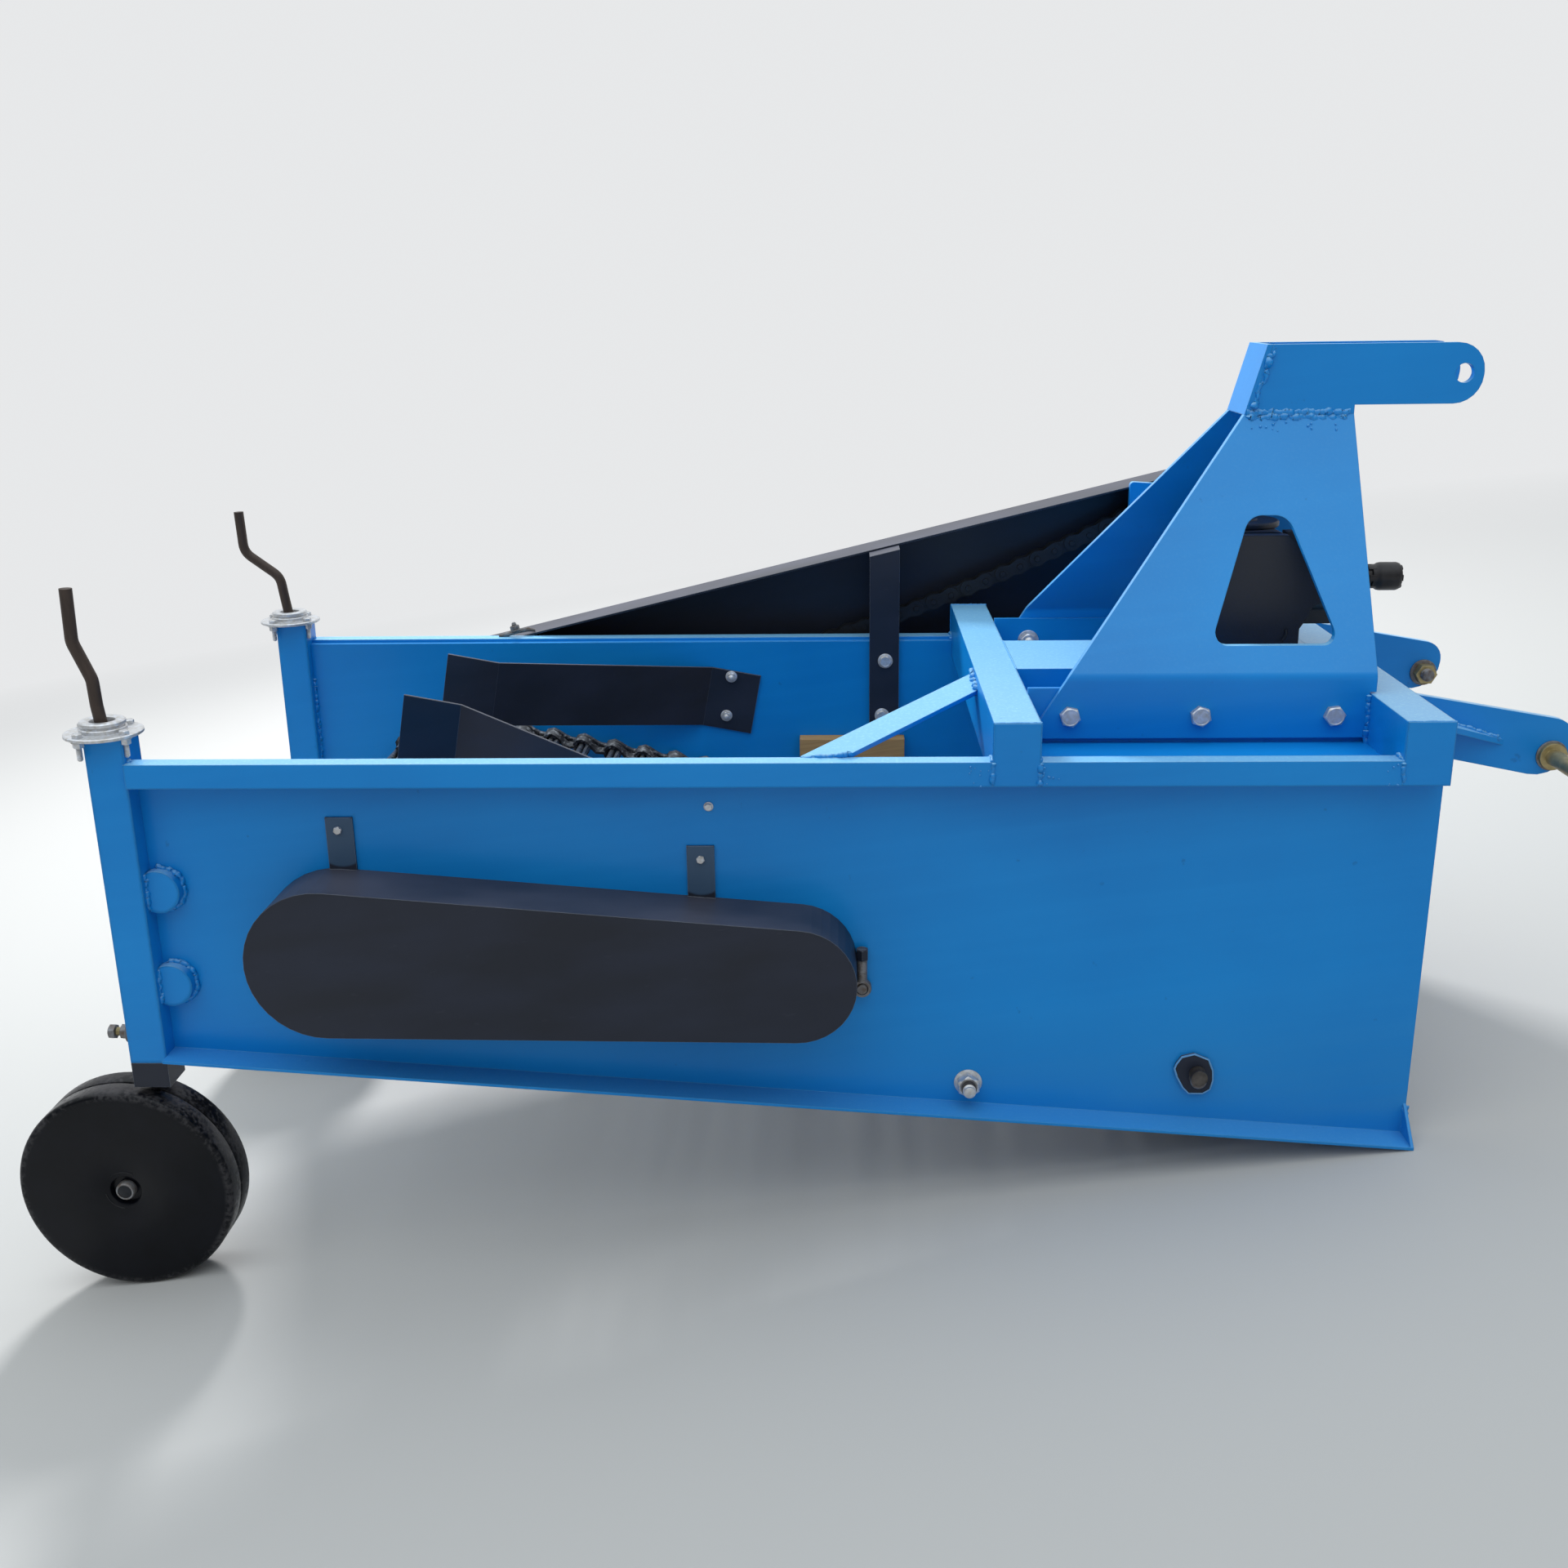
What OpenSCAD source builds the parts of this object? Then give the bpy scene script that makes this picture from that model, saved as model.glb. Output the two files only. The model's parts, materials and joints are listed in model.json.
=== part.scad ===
// Potato digger for a small tractor: one rod-chain elevator between two side walls,
// a share in front, two depth wheels behind and a three-point hitch.
// Machine axes: x forward from the wheel axle, y to the machine's left, z up from the
// underside of the wheels. stand() sets the machine down, nose low, on its wheels and
// on the front corners of its walls. A list [x, z] is a place seen from the side.

/* [Frame] */
// Width over the ends of the cross tubes
frame_w = 786; // [760:2:860]
// Height of the top of the side rails
rail_top = 765; // [755:1:790]
// Height of a side rail
rail_h = 32; // [30:1:45]
// Width of a side rail
rail_w = 27; // [22:1:27]
// Height of a cross tube
tube_h = 82; // [76:1:100]
// Width of a cross tube, fore and aft
tube_w = 59; // [50:1:70]
// Rear face of the middle cross tube
mid_tube_x = 1184; // [1160:2:1200]
// Rear face of the front cross tube
front_tube_x = 1691; // [1670:1:1700]
// Width of the flat brace
brace_w = 51; // [40:1:56]
// Thickness of the brace
brace_t = 6; // [5:0.5:8]
// Rear end of the brace's foot on the right rail
brace_foot_x = 942; // [920:2:960]
// Distance of the brace's head from the centre line
brace_head_y = 69; // [60:1:110]
// Rise of the brace from its foot to its head
brace_rise = 38; // [20:1:40]

/* [Side walls] */
// Thickness of the wall sheet and its folded lip
sheet_t = 4; // [3:0.5:6]
// How far the sheet lies inside the ends of the cross tubes
sheet_inset = 35; // [30:1:38]
// Drop of the sheet's top lip below the top of the rails
lip_drop = 5; // [4:0.5:8]
// Front edge of the walls
wall_front_x = 1755; // [1752:1:1790]
// Height of the lower bend at the rear end
bend_rear_z = 352; // [345:1:380]
// Height of the lower bend at the front end
bend_front_z = 230; // [222:1:240]
// Width of the folded lip from the sheet's inner face
lip_w = 47; // [40:1:60]
// Height of the gusset that closes the lip in front
lip_gusset_h = 43; // [30:1:60]

/* [Posts and legs] */
// Outside width of a square post
post_w = 50; // [46:1:56]
// Rear face of the posts
post_x = 30; // [20:1:40]
// Middle of the posts and wheels, inward from the ends of the cross tubes
post_inset = 31; // [29:1:33]
// Underside of the posts
post_foot_z = 342; // [330:1:346]
// Top of the posts
post_top_z = 798; // [785:1:805]
// Wall thickness of a post
post_t = 4; // [3:0.5:5]
// Running clearance of a leg in its post, each side
leg_gap = 0.4; // [0.3:0.05:0.6]
// Length of leg tube held in the post
leg_held = 250; // [220:5:300]
// Height of the leg's collar under the post
collar_h = 36; // [30:1:38]
// Thickness of the leg's wheel arm
arm_t = 10; // [8:1:12]
// Gap between the wheel arm and the wheel
arm_gap = 6; // [5:0.5:8]
// Width of the arm's top
arm_w = 28; // [26:1:34]
// Radius of the arm round the axle
arm_r = 30; // [25:1:36]

/* [Wheels] */
// Radius of a depth wheel
wheel_r = 150; // [146:1:160]
// Width of a depth wheel
wheel_w = 70; // [60:1:76]
// Rounding of the wheel's rims
wheel_round = 12; // [6:1:18]
// Radius of the hub recess
hub_r = 22; // [18:1:28]
// Radius of the axle bolt
axle_r = 10; // [8:0.5:12]
// Running clearance of a shaft in its bore
run_gap = 0.06; // [0.03:0.01:0.09]

/* [Mast] */
// Thickness of the mast plates
mast_t = 10; // [8:1:12]
// Outer face of the upright lower plates, from the centre line
mast_y = 248; // [244:1:252]
// Height of the bend in the mast plates
mast_bend_z = 838; // [830:1:850]
// Height of the top of the mast plates
mast_top_z = 1160; // [1140:1:1180]
// Lean of the upper plates, inward per unit of height
mast_lean = 0.615; // [0.6:0.005:0.62]
// Inner radius of the bend
mast_bend_r = 12; // [6:1:20]
// Rear end of the bend
mast_bend_x = 1295; // [1293:1:1310]
// Rear end of the plate's top
mast_head_x = 1549; // [1530:1:1560]
// Front edge of the plates' feet
mast_front_x = 1690; // [1660:1:1690]
// Front edge of the plates above the front cross tube
mast_edge_x = 1698; // [1690:1:1704]
// Radius of the window's lower corners
window_r = 15; // [8:1:22]
// Radius of the window's upper corners
window_top_r = 25; // [12:1:28]
// Height of the angle bars inside the mast plates
mast_rail_h = 80; // [70:1:84]
// Width of the angle bars' outward legs
mast_rail_w = 80; // [60:1:90]
// Thickness of the angle bars
mast_rail_t = 6; // [5:0.5:8]
// Top of the angle bars above the cross tubes
mast_rail_rise = 7; // [2:1:10]
// Thickness of a top-link lug
lug_t = 12; // [10:1:14]
// Height of a top-link lug
lug_h = 81; // [70:1:90]
// Front end of the lugs
lug_tip_x = 1868; // [1850:1:1890]
// Place of the top-link hole
link_x = 1842; // [1820:1:1845]
// Radius of the top-link hole
link_r = 13; // [9.5:0.5:14]
// Thickness of the cap behind the lugs
cap_t = 8; // [6:1:10]

/* [Hitch] */
// Outer face of the hitch plates, from the centre line
hitch_y = 246; // [240:1:250]
// Thickness of the hitch plates
hitch_t = 12; // [10:1:14]
// Front end of the hitch plates
hitch_tip_x = 1962; // [1950:1:1980]
// Place of the hitch pins
pin_x = 1936; // [1915:1:1938]
// Height of the hitch pins
pin_z = 729; // [724:1:738]
// Radius of the hitch pins
pin_r = 11; // [10:0.5:14]
// Length of a pin's shank outside its collar
pin_l = 72; // [60:1:90]
// Width of the triangular rib beside a hitch plate
rib_w = 50; // [30:1:60]

/* [Gearbox and drive] */
// Height of the gearbox's shafts above the cross tubes
drive_rise = 112; // [104:1:118]
// Place of the cross shaft
cross_x = 1565; // [1560:1:1570]
// Length of the gearbox body
box_l = 150; // [140:2:160]
// Width of the gearbox body
box_w = 150; // [130:2:160]
// Height of the gearbox body
box_h = 188; // [180:2:196]
// Radius of the front bearing boss
boss_r = 47; // [42:1:50]
// Front face of the bearing boss
boss_x = 1738; // [1730:1:1745]
// Radius of the input shaft's journal
journal_r = 14.5; // [12:0.5:16]
// Outer radius of the six-splined stub
spline_r = 17.5; // [16:0.5:20]
// Front end of the splined stub
stub_x = 1800; // [1795:1:1815]
// Width of the gearbox bed
bed_w = 190; // [180:2:200]
// Thickness of the gearbox bed
bed_t = 8; // [6:1:10]
// Depth of the bed's side flanges
bed_h = 60; // [40:2:70]
// Outer radius of the cross shaft's housing
housing_r = 36; // [32:1:40]
// Radius of the drive shafts
shaft_r = 17.5; // [15:0.5:20]

/* [Side chain and guard] */
// Pitch of the side chain
chain_pitch = 31.75; // [25.4:0.05:31.75]
// Teeth of the driving sprocket
drive_teeth = 13; // [12:1:14]
// Teeth of the driven sprocket
driven_teeth = 18; // [17:1:19]
// Middle of the side chain, outward from the ends of the cross tubes
chain_out = 37; // [32:1:42]
// Width of the side chain
chain_w = 16; // [14:1:20]
// Sag of the chain's upper run
chain_sag = 62; // [20:1:70]
// Outer face of the guard, outward from the ends of the cross tubes
guard_out = 90; // [78:1:104]
// Sheet thickness of the guard and of the chain cover
guard_t = 3; // [2:0.5:4]
// Height of the guard's top edge above the rear corner
guard_rise = 348; // [346:1:352]
// Width of the guard's bracket
bracket_w = 50; // [40:1:56]
// Thickness of the guard's bracket
bracket_t = 8; // [6:1:10]

/* [Elevator web] */
// Pitch of the web's rods
web_pitch = 53; // [52:0.5:54]
// Radius of a rod
rod_r = 5.5; // [5:0.5:6]
// Teeth of the head sprockets
head_teeth = 14; // [14:1:14]
// Gap between the web's side strands and the walls
web_gap = 16; // [12:1:24]
// Thickness of a side strand
strand_w = 8; // [6:1:10]
// How far a hook stands above the rods' middle
hook_h = 12; // [9:1:14]
// Place of the head shaft
head_x = 328; // [320:1:340]
// Height of the head shaft
head_z = 512; // [506:1:516]
// Place of the shaker shaft
shaker_x = 936; // [920:1:950]
// Height of the shaker shaft
shaker_z = 484; // [480:1:488]
// Radius at which the rods pass the shaker
shaker_r = 27; // [25:1:29]
// Place of the front idler
idler_x = 1471; // [1465:1:1475]
// Height of the front idler
idler_z = 320; // [318:1:324]
// Radius at which the rods pass the idler
idler_r = 60; // [56:1:62]
// Place of the support roller
roller_x = 1165; // [1150:1:1180]
// Height of the support roller
roller_z = 303; // [301:1:306]
// Radius at which the rods pass the support roller
roller_r = 31; // [28:1:32]

/* [Share] */
// Front edge of the share
share_tip_x = 1742; // [1730:1:1748]
// Height of the underside at the share's front edge
share_tip_z = 230; // [229:1:236]
// Rear edge of the share
share_rear_x = 1565; // [1560:1:1580]
// Height of the underside at the share's rear edge
share_rear_z = 338; // [330:1:345]
// Thickness of the share
share_t = 10; // [8:1:12]
// Number of points on the share
share_points = 5; // [3:1:6]
// Number of finger rods behind the share
fingers = 8; // [6:1:10]

/* [Deflectors] */
// Height of a deflector strip
deflector_h = 104; // [90:2:110]
// Sheet thickness of a deflector
deflector_t = 4; // [3:0.5:5]
// How far a deflector reaches in from the wall
deflector_reach = 220; // [150:5:240]
// Front bend of a deflector
deflector_x = 756; // [740:2:770]
// Height of a deflector's foot at the front bend
deflector_z = 614; // [606:1:625]
// Rise of a deflector to the rear, in degrees
deflector_rise = 10.6; // [9:0.2:11.4]

/* [Chain cover] */
// Depth of the cover on the right wall
cover_depth = 92; // [86:1:100]
// Radius of the cover's rear end
cover_rear_r = 101; // [96:1:106]
// Radius of the cover's front end
cover_front_r = 78; // [74:1:84]

/* [Cranks] */
// Radius of a crank flange
flange_r = 49; // [46:1:54]
// Outer radius of the flange's collar
flange_ring_r = 29; // [26:1:32]
// Height of the flange's collar
flange_ring_h = 20; // [16:1:26]
// Radius of the collar's opening
flange_bore_r = 15.5; // [12:0.5:18]
// How far a flange lies behind the middle of its post
flange_back = 8; // [4:1:10]
// Radius of the crank rod
crank_r = 8; // [7:0.5:9]
// Throw of the left crank, to the rear
crank_throw_left = 62; // [40:1:70]
// Throw of the right crank, to the rear
crank_throw_right = 30; // [20:1:70]
// Height of a crank's top
crank_top_z = 987; // [960:1:1000]

/* [Hidden] */

// Finish colours
blue = [0.11, 0.47, 0.80];
black = [0.09, 0.09, 0.11];
dark_rod = [0.17, 0.14, 0.13];
zinc = [0.72, 0.72, 0.70];
steel = [0.42, 0.42, 0.43];
wood = [0.66, 0.52, 0.33];

// Smoothness of round pieces and of corner arcs
round_fn = 48;
arc_steps = 6;
seat_gap = 0.3;

// Places that follow from the sizes above
half_w = frame_w / 2;
frame_foot = rail_top - rail_h;
tube_top = frame_foot + tube_h;
sheet_out = half_w - sheet_inset;
sheet_in = sheet_out - sheet_t;
lip_top = rail_top - lip_drop;
post_y = half_w - post_inset;
chain_y = half_w + chain_out;
guard_y = half_w + guard_out;
cover_y = sheet_out + cover_depth;
web_w = 2 * (sheet_in - web_gap);
drive_z = tube_top + drive_rise;
post_front = post_x + post_w;
post_mid = post_x + post_w / 2;
lug_y = mast_y - mast_lean * (mast_top_z - mast_bend_z);
lug_foot_z = mast_top_z + 12;
lug_mid_z = lug_foot_z + lug_h / 2;
front_tube_end = front_tube_x + tube_w;
head_r = head_teeth * web_pitch / (2 * PI);
drive_r = chain_pitch / 2 / sin(180 / drive_teeth);
driven_r = chain_pitch / 2 / sin(180 / driven_teeth);
disc_fit = rod_r + 0.5;

// Nose-down angle at which wheels and front wall corners share one floor
corner_z = bend_front_z - sheet_t;
tilt = atan((corner_z - wheel_r) / wall_front_x)
    + asin(wheel_r / norm([wall_front_x, corner_z - wheel_r]));

function unit(v) = v / norm(v);
function turned(v, a) = [v.x * cos(a) - v.y * sin(a), v.x * sin(a) + v.y * cos(a)];

// Points of one corner b between a and c, rounded with radius r
function corner(a, b, c, r) = r <= 0 ? [b] :
    let (u = unit(a - b), w = unit(c - b), half = acos(u * w) / 2,
         middle = b + unit(u + w) * r / sin(half), start = b + u * r / tan(half) - middle,
         sweep = -sign(cross(u, w)) * (180 - 2 * half))
    [for (i = [0:arc_steps]) middle + turned(start, sweep * i / arc_steps)];

// Outline from corners [x, z, radius]
function outline(c) = let (n = len(c))
    [for (i = [0:n - 1])
        let (a = c[(i + n - 1) % n], b = c[i], d = c[(i + 1) % n])
        each corner([a.x, a.y], [b.x, b.y], [d.x, d.y], b.z)];

// Corners of a convex, anticlockwise outline moved inward by d
function inset(c, d) = let (n = len(c))
    [for (i = [0:n - 1])
        let (a = c[(i + n - 1) % n], b = c[i], e = c[(i + 1) % n],
             u = unit([b.x - a.x, b.y - a.y]), w = unit([e.x - b.x, e.y - b.y]),
             nu = [-u.y, u.x], nw = [-w.y, w.x], shift = (nu + nw) * d / (1 + nu * nw))
        [b.x + shift.x, b.y + shift.y, max(b.z - d, 0)]];

// Clockwise belt path round wheels [x, z, radius]; a wheel outside the loop has a
// negative radius
function lead(a, b) = atan2(b.y - a.y, b.x - a.x)
    - asin((a.z - b.z) / norm([b.x - a.x, b.y - a.y]));
function positive(a) = ((a % 360) + 360) % 360;
function normal(a) = [-sin(a), cos(a)];
function belt(w, step = 12) = let (n = len(w))
    [for (i = [0:n - 1])
        let (into = lead(w[(i + n - 1) % n], w[i]), out = lead(w[i], w[(i + 1) % n]),
             r = w[i].z,
             sweep = r > 0 ? -positive(into - out) : positive(out - into),
             parts = max(1, ceil(abs(sweep) / step)))
        for (k = [0:parts]) [w[i].x, w[i].y] + r * normal(into + sweep * k / parts)];
function grown(w, d) = [for (c = w) [c.x, c.y, c.z + d]];

// Length of a closed path and the place [x, z, heading] at distance s along it
function span(p, i) = norm(p[(i + 1) % len(p)] - p[i % len(p)]);
function loop_length(p, i = 0) = i >= len(p) ? 0 : span(p, i) + loop_length(p, i + 1);
function along(p, s, i = 0) = let (l = span(p, i))
    s > l ? along(p, s - l, i + 1) :
    let (a = p[i % len(p)], d = p[(i + 1) % len(p)] - a)
    [a.x + d.x * s / l, a.y + d.y * s / l, atan2(d.y, d.x)];
function beside(place, d) = [place.x, place.y] + d * normal(place.z);

// An upright sheet in the x-z plane that reaches from y to y + t
module upright(y, t) { translate([0, y + t, 0]) rotate([90, 0, 0]) linear_extrude(t) children(); }

// A round bar along y between two distances from the centre line
module bar_y(x, z, r, y0, y1) {
    translate([x, y0, z]) rotate([-90, 0, 0]) cylinder(r = r, h = y1 - y0, $fn = round_fn);
}

// Place a distance d over the left side or, mirrored, over the right side
module side(left) { if (left) children(); else mirror([0, 1, 0]) children(); }

// Farthest forward point of the standing machine, on the hitch plates
hitch_corners = [
    [front_tube_end, tube_top - 2, 0], [front_tube_end, frame_foot + 3, 0],
    [hitch_tip_x, pin_z - 37, 45], [hitch_tip_x, pin_z + 46, 28]
];
hitch_outline = outline(hitch_corners);
function forward(p) = p.x * cos(tilt) + (p.y - wheel_r) * sin(tilt);
front_reach = max([for (p = hitch_outline) forward(p)]);

// Sets the machine on the floor, with the origin under the middle of its box
module stand() {
    translate([-(front_reach - wheel_r) / 2, -(guard_y - cover_y) / 2, wheel_r])
        rotate([0, tilt, 0]) translate([0, 0, -wheel_r]) children();
}

// Side wall: sheet with a folded lip, a front gusset and the holes for the shafts. Its
// top is folded outward to the rail, in two lengths like the rail itself
rail_parts = [[post_front, mid_tube_x], [mid_tube_x + tube_w, front_tube_x]];
function bend_z(x) = bend_rear_z
    + (bend_front_z - bend_rear_z) * (x - post_front) / (wall_front_x - post_front);
module wall(left) {
    side(left) color(blue) difference() {
        union() {
            upright(sheet_in, sheet_t) polygon([
                [post_front, bend_rear_z], [wall_front_x, bend_front_z],
                [wall_front_x, frame_foot], [post_front, frame_foot]
            ]);
            for (part = rail_parts) translate([part[0], sheet_in, frame_foot - 1]) {
                cube([part[1] - part[0], sheet_t, lip_top - frame_foot + 1]);
                translate([0, 0, lip_top - frame_foot + 1 - sheet_t])
                    cube([part[1] - part[0], half_w - rail_w - sheet_in, sheet_t]);
            }
            upright(sheet_in, lip_w) polygon([
                [post_front, bend_rear_z - sheet_t], [wall_front_x, corner_z],
                [wall_front_x, bend_front_z], [post_front, bend_rear_z]
            ]);
            translate([wall_front_x - sheet_t, 0, 0]) rotate([90, 0, 90])
                linear_extrude(sheet_t) polygon([
                    [sheet_out, bend_front_z], [sheet_in + lip_w, bend_front_z],
                    [sheet_out, bend_front_z + lip_gusset_h]
                ]);
        }
        for (s = [[head_x, head_z, shaft_r + 8], [shaker_x, shaker_z, shaft_r + 8],
                  [roller_x, roller_z, roller_bolt_r + seat_gap]])
            bar_y(s.x, s.y, s.z, sheet_in - 1, sheet_out + 1);
        upright(sheet_in - 1, sheet_t + 2) polygon(outline([
            [idler_x - 34, idler_z + 24, 14], [idler_x - 8, idler_z - 32, 14],
            [idler_x + 28, idler_z + 20, 14]
        ]));
    }
}

// Side rail in two lengths, cut at the middle cross tube
module rail(left) {
    side(left) color(blue) for (part = rail_parts)
        translate([part[0], half_w - rail_w, frame_foot])
            cube([part[1] - part[0], rail_w, rail_h]);
}

// Square post that guides a leg, with two round welding discs in its front corner
disc_r = 29;
disc_x = post_front + 14;
disc_t = 18;
disc_heights = [585, 451];
module post(left) {
    side(left) color(blue) {
        difference() {
            translate([post_x, post_y - post_w / 2, post_foot_z])
                cube([post_w, post_w, post_top_z - post_foot_z]);
            translate([post_x + post_t, post_y - post_w / 2 + post_t, post_foot_z - 1])
                cube([post_w - 2 * post_t, post_w - 2 * post_t, post_top_z - post_foot_z + 2]);
        }
        for (z = disc_heights) intersection() {
            bar_y(disc_x, z, disc_r, sheet_out, sheet_out + disc_t);
            translate([post_front, 0, 0]) cube([2 * disc_r, 2 * half_w, post_top_z]);
        }
    }
}

module cross_tube(x) {
    color(blue) translate([x, -half_w, frame_foot]) cube([tube_w, frame_w, tube_h]);
}

// Flat brace from the right rail's inner side up to the rear face of the middle tube
module brace() {
    foot = [brace_foot_x, -(half_w - rail_w)];
    run = [mid_tube_x, -brace_head_y] - foot;
    far = 2 * norm(run);
    color(blue) intersection() {
        translate([foot.x, foot.y, lip_top]) rotate([0, 0, atan2(run.y, run.x)])
            rotate([0, -atan(brace_rise / norm(run)), 0])
            translate([-far / 2, -brace_w, 0]) cube([far, brace_w, brace_t]);
        translate([0, foot.y, lip_top]) cube([mid_tube_x, half_w, tube_h]);
    }
}

// Mast plate: upright foot, bend, and a leaning upper plate with its window
lean_angle = atan(mast_lean);
lean_stretch = 1 / cos(lean_angle);
window_corners = [
    [1483, 875, window_r], [1653, 875, window_r],
    [1598, 1033, window_top_r], [1546, 1033, window_top_r]
];
mast_foot_z = frame_foot + 22;
mast_corners = [
    [mast_bend_x - 0.62 * (mast_bend_z - mast_foot_z), mast_foot_z, 0],
    [mast_front_x, mast_foot_z, 0], [mast_front_x, tube_top + 2, 0],
    [mast_edge_x, tube_top + 2, 0], [mast_edge_x, mast_top_z, 0],
    [mast_head_x, mast_top_z, 0], [mast_bend_x, mast_bend_z, 60]
];
module mast_plate(left) {
    inner_bend_z = mast_bend_z - mast_t * (lean_stretch - 1) / mast_lean;
    profile = [
        [mast_y, mast_foot_z, 0], [mast_y, mast_bend_z, mast_bend_r + mast_t],
        [lug_y, mast_top_z, 0], [lug_y - mast_t * lean_stretch, mast_top_z, 0],
        [mast_y - mast_t, inner_bend_z, mast_bend_r], [mast_y - mast_t, mast_foot_z, 0]
    ];
    side(left) color(blue) difference() {
        intersection() {
            translate([mid_tube_x, 0, 0]) rotate([90, 0, 90])
                linear_extrude(mast_edge_x - mid_tube_x + 1) polygon(outline(profile));
            upright(0, mast_y + 1) polygon(outline(mast_corners));
        }
        upright(0, mast_y + 1) polygon(outline(window_corners));
    }
}

// Angle bars inside the mast plates that carry them between the cross tubes
module mast_rails() {
    y = mast_y - mast_t - mast_rail_t;
    top = tube_top + mast_rail_rise;
    for (left = [true, false]) side(left) color(blue)
        translate([mid_tube_x + tube_w, 0, 0]) rotate([90, 0, 90])
            linear_extrude(front_tube_x - mid_tube_x - tube_w) polygon([
                [y, top], [y, top - mast_rail_h], [y + mast_rail_w, top - mast_rail_h],
                [y + mast_rail_w, top - mast_rail_h + mast_rail_t],
                [y + mast_rail_t, top - mast_rail_h + mast_rail_t], [y + mast_rail_t, top]
            ]);
}

// Top-link lugs, and the slanted cap plate that closes them behind
cap_slant = 0.27;
module top_link_lugs() {
    for (left = [true, false]) side(left) color(blue) difference() {
        upright(lug_y - lug_t, lug_t) polygon(outline([
            [mast_head_x + cap_t, mast_top_z, 0], [mast_edge_x, mast_top_z, 0],
            [mast_edge_x, lug_foot_z, 0], [lug_tip_x, lug_foot_z, 0.47 * lug_h],
            [lug_tip_x, lug_foot_z + lug_h, 0.47 * lug_h],
            [mast_head_x + cap_t + cap_slant * (lug_foot_z + lug_h - mast_top_z), lug_foot_z + lug_h, 0]
        ]));
        bar_y(link_x, lug_mid_z, link_r, lug_y - lug_t - 1, lug_y + 1);
    }
}
module mast_cap() {
    top = lug_foot_z + lug_h;
    run = cap_slant * (top - mast_top_z);
    color(blue) upright(-lug_y, 2 * lug_y) polygon([
        [mast_head_x, mast_top_z], [mast_head_x + cap_t, mast_top_z],
        [mast_head_x + cap_t + run, top], [mast_head_x + run, top]
    ]);
}

// Lower hitch plate with its triangular rib, and the pin bolted through it
rib_t = 8;
rib_slope = 0.33;
module hitch_plate(left) {
    rib_l = 0.57 * (hitch_tip_x - front_tube_end);
    side(left) color(blue) difference() {
        union() {
            upright(hitch_y - hitch_t, hitch_t) polygon(hitch_outline);
            intersection() {
                linear_extrude(2 * rail_top) polygon([
                    [front_tube_end, hitch_y], [front_tube_end + rib_l, hitch_y],
                    [front_tube_end, hitch_y + rib_w]
                ]);
                upright(hitch_y, rib_w) polygon([
                    [front_tube_end, tube_top - 24], [front_tube_end + rib_l, tube_top - 24 - rib_slope * rib_l],
                    [front_tube_end + rib_l, tube_top - 24 - rib_t - rib_slope * rib_l],
                    [front_tube_end, tube_top - 24 - rib_t]
                ]);
            }
        }
        bar_y(pin_x, pin_z, pin_r - 1, hitch_y - hitch_t - 1, hitch_y + 1);
    }
}
module hitch_pin(left) {
    nut_l = 18;
    collar_l = 9;
    chamfer = 4;
    shank_end = hitch_y + collar_l + pin_l;
    side(left) color(zinc) {
        bar_y(pin_x, pin_z, pin_r - 1 - seat_gap, hitch_y - hitch_t - nut_l - 6, hitch_y);
        translate([pin_x, hitch_y - hitch_t, pin_z]) rotate([90, 0, 0])
            cylinder(r = 17, h = nut_l, $fn = 6);
        bar_y(pin_x, pin_z, 18, hitch_y, hitch_y + collar_l);
        bar_y(pin_x, pin_z, pin_r, hitch_y + collar_l, shank_end - chamfer);
        translate([pin_x, shank_end - chamfer, pin_z]) rotate([-90, 0, 0])
            cylinder(r1 = pin_r, r2 = pin_r - 3, h = chamfer, $fn = round_fn);
    }
}

// Channel between the cross tubes that carries the gearbox
module gearbox_bed() {
    l = front_tube_x - mid_tube_x - tube_w;
    color(blue) translate([mid_tube_x + tube_w, 0, tube_top]) difference() {
        translate([0, -bed_w / 2, -bed_h]) cube([l, bed_w, bed_h]);
        translate([-1, -bed_w / 2 + bed_t, -bed_h - 1])
            cube([l + 2, bed_w - 2 * bed_t, bed_h + 1 - bed_t]);
    }
}

// Cast bevel gearbox: ribbed body, foot flange, input boss and two side bosses
foot_t = 12;
side_boss_l = 28;
side_cover_l = 5;
module gearbox() {
    rear = cross_x - box_l / 2 - 10;
    front = rear + box_l;
    body_foot = tube_top + foot_t;
    body_top = tube_top + box_h;
    color(black) difference() {
        union() {
            translate([rear - 12, -bed_w / 2 + 4, tube_top]) cube([box_l + 24, bed_w - 8, foot_t]);
            upright(-box_w / 2, box_w) polygon(outline([
                [rear, body_foot, 0], [front, body_foot, 0],
                [front, body_top, 34], [rear, body_top, 34]
            ]));
            translate([front, 0, drive_z]) rotate([0, 90, 0])
                cylinder(r = boss_r, h = boss_x - front, $fn = round_fn);
            translate([front, 0, drive_z]) rotate([0, 90, 0])
                cylinder(r1 = boss_r + 12, r2 = boss_r, h = 24, $fn = round_fn);
            bar_y(cross_x, drive_z, housing_r + 12, box_w / 2, box_w / 2 + side_boss_l);
            bar_y(cross_x, drive_z, housing_r + 6, -box_w / 2 - side_cover_l, 0);
            for (a = [-5, 5]) translate([front, a - 4, drive_z - boss_r - 20])
                cube([boss_x - front - 24, 8, 2 * boss_r + 40]);
        }
        translate([boss_x - 60, 0, drive_z]) rotate([0, 90, 0])
            cylinder(r = journal_r + run_gap, h = 61, $fn = round_fn);
    }
}

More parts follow.
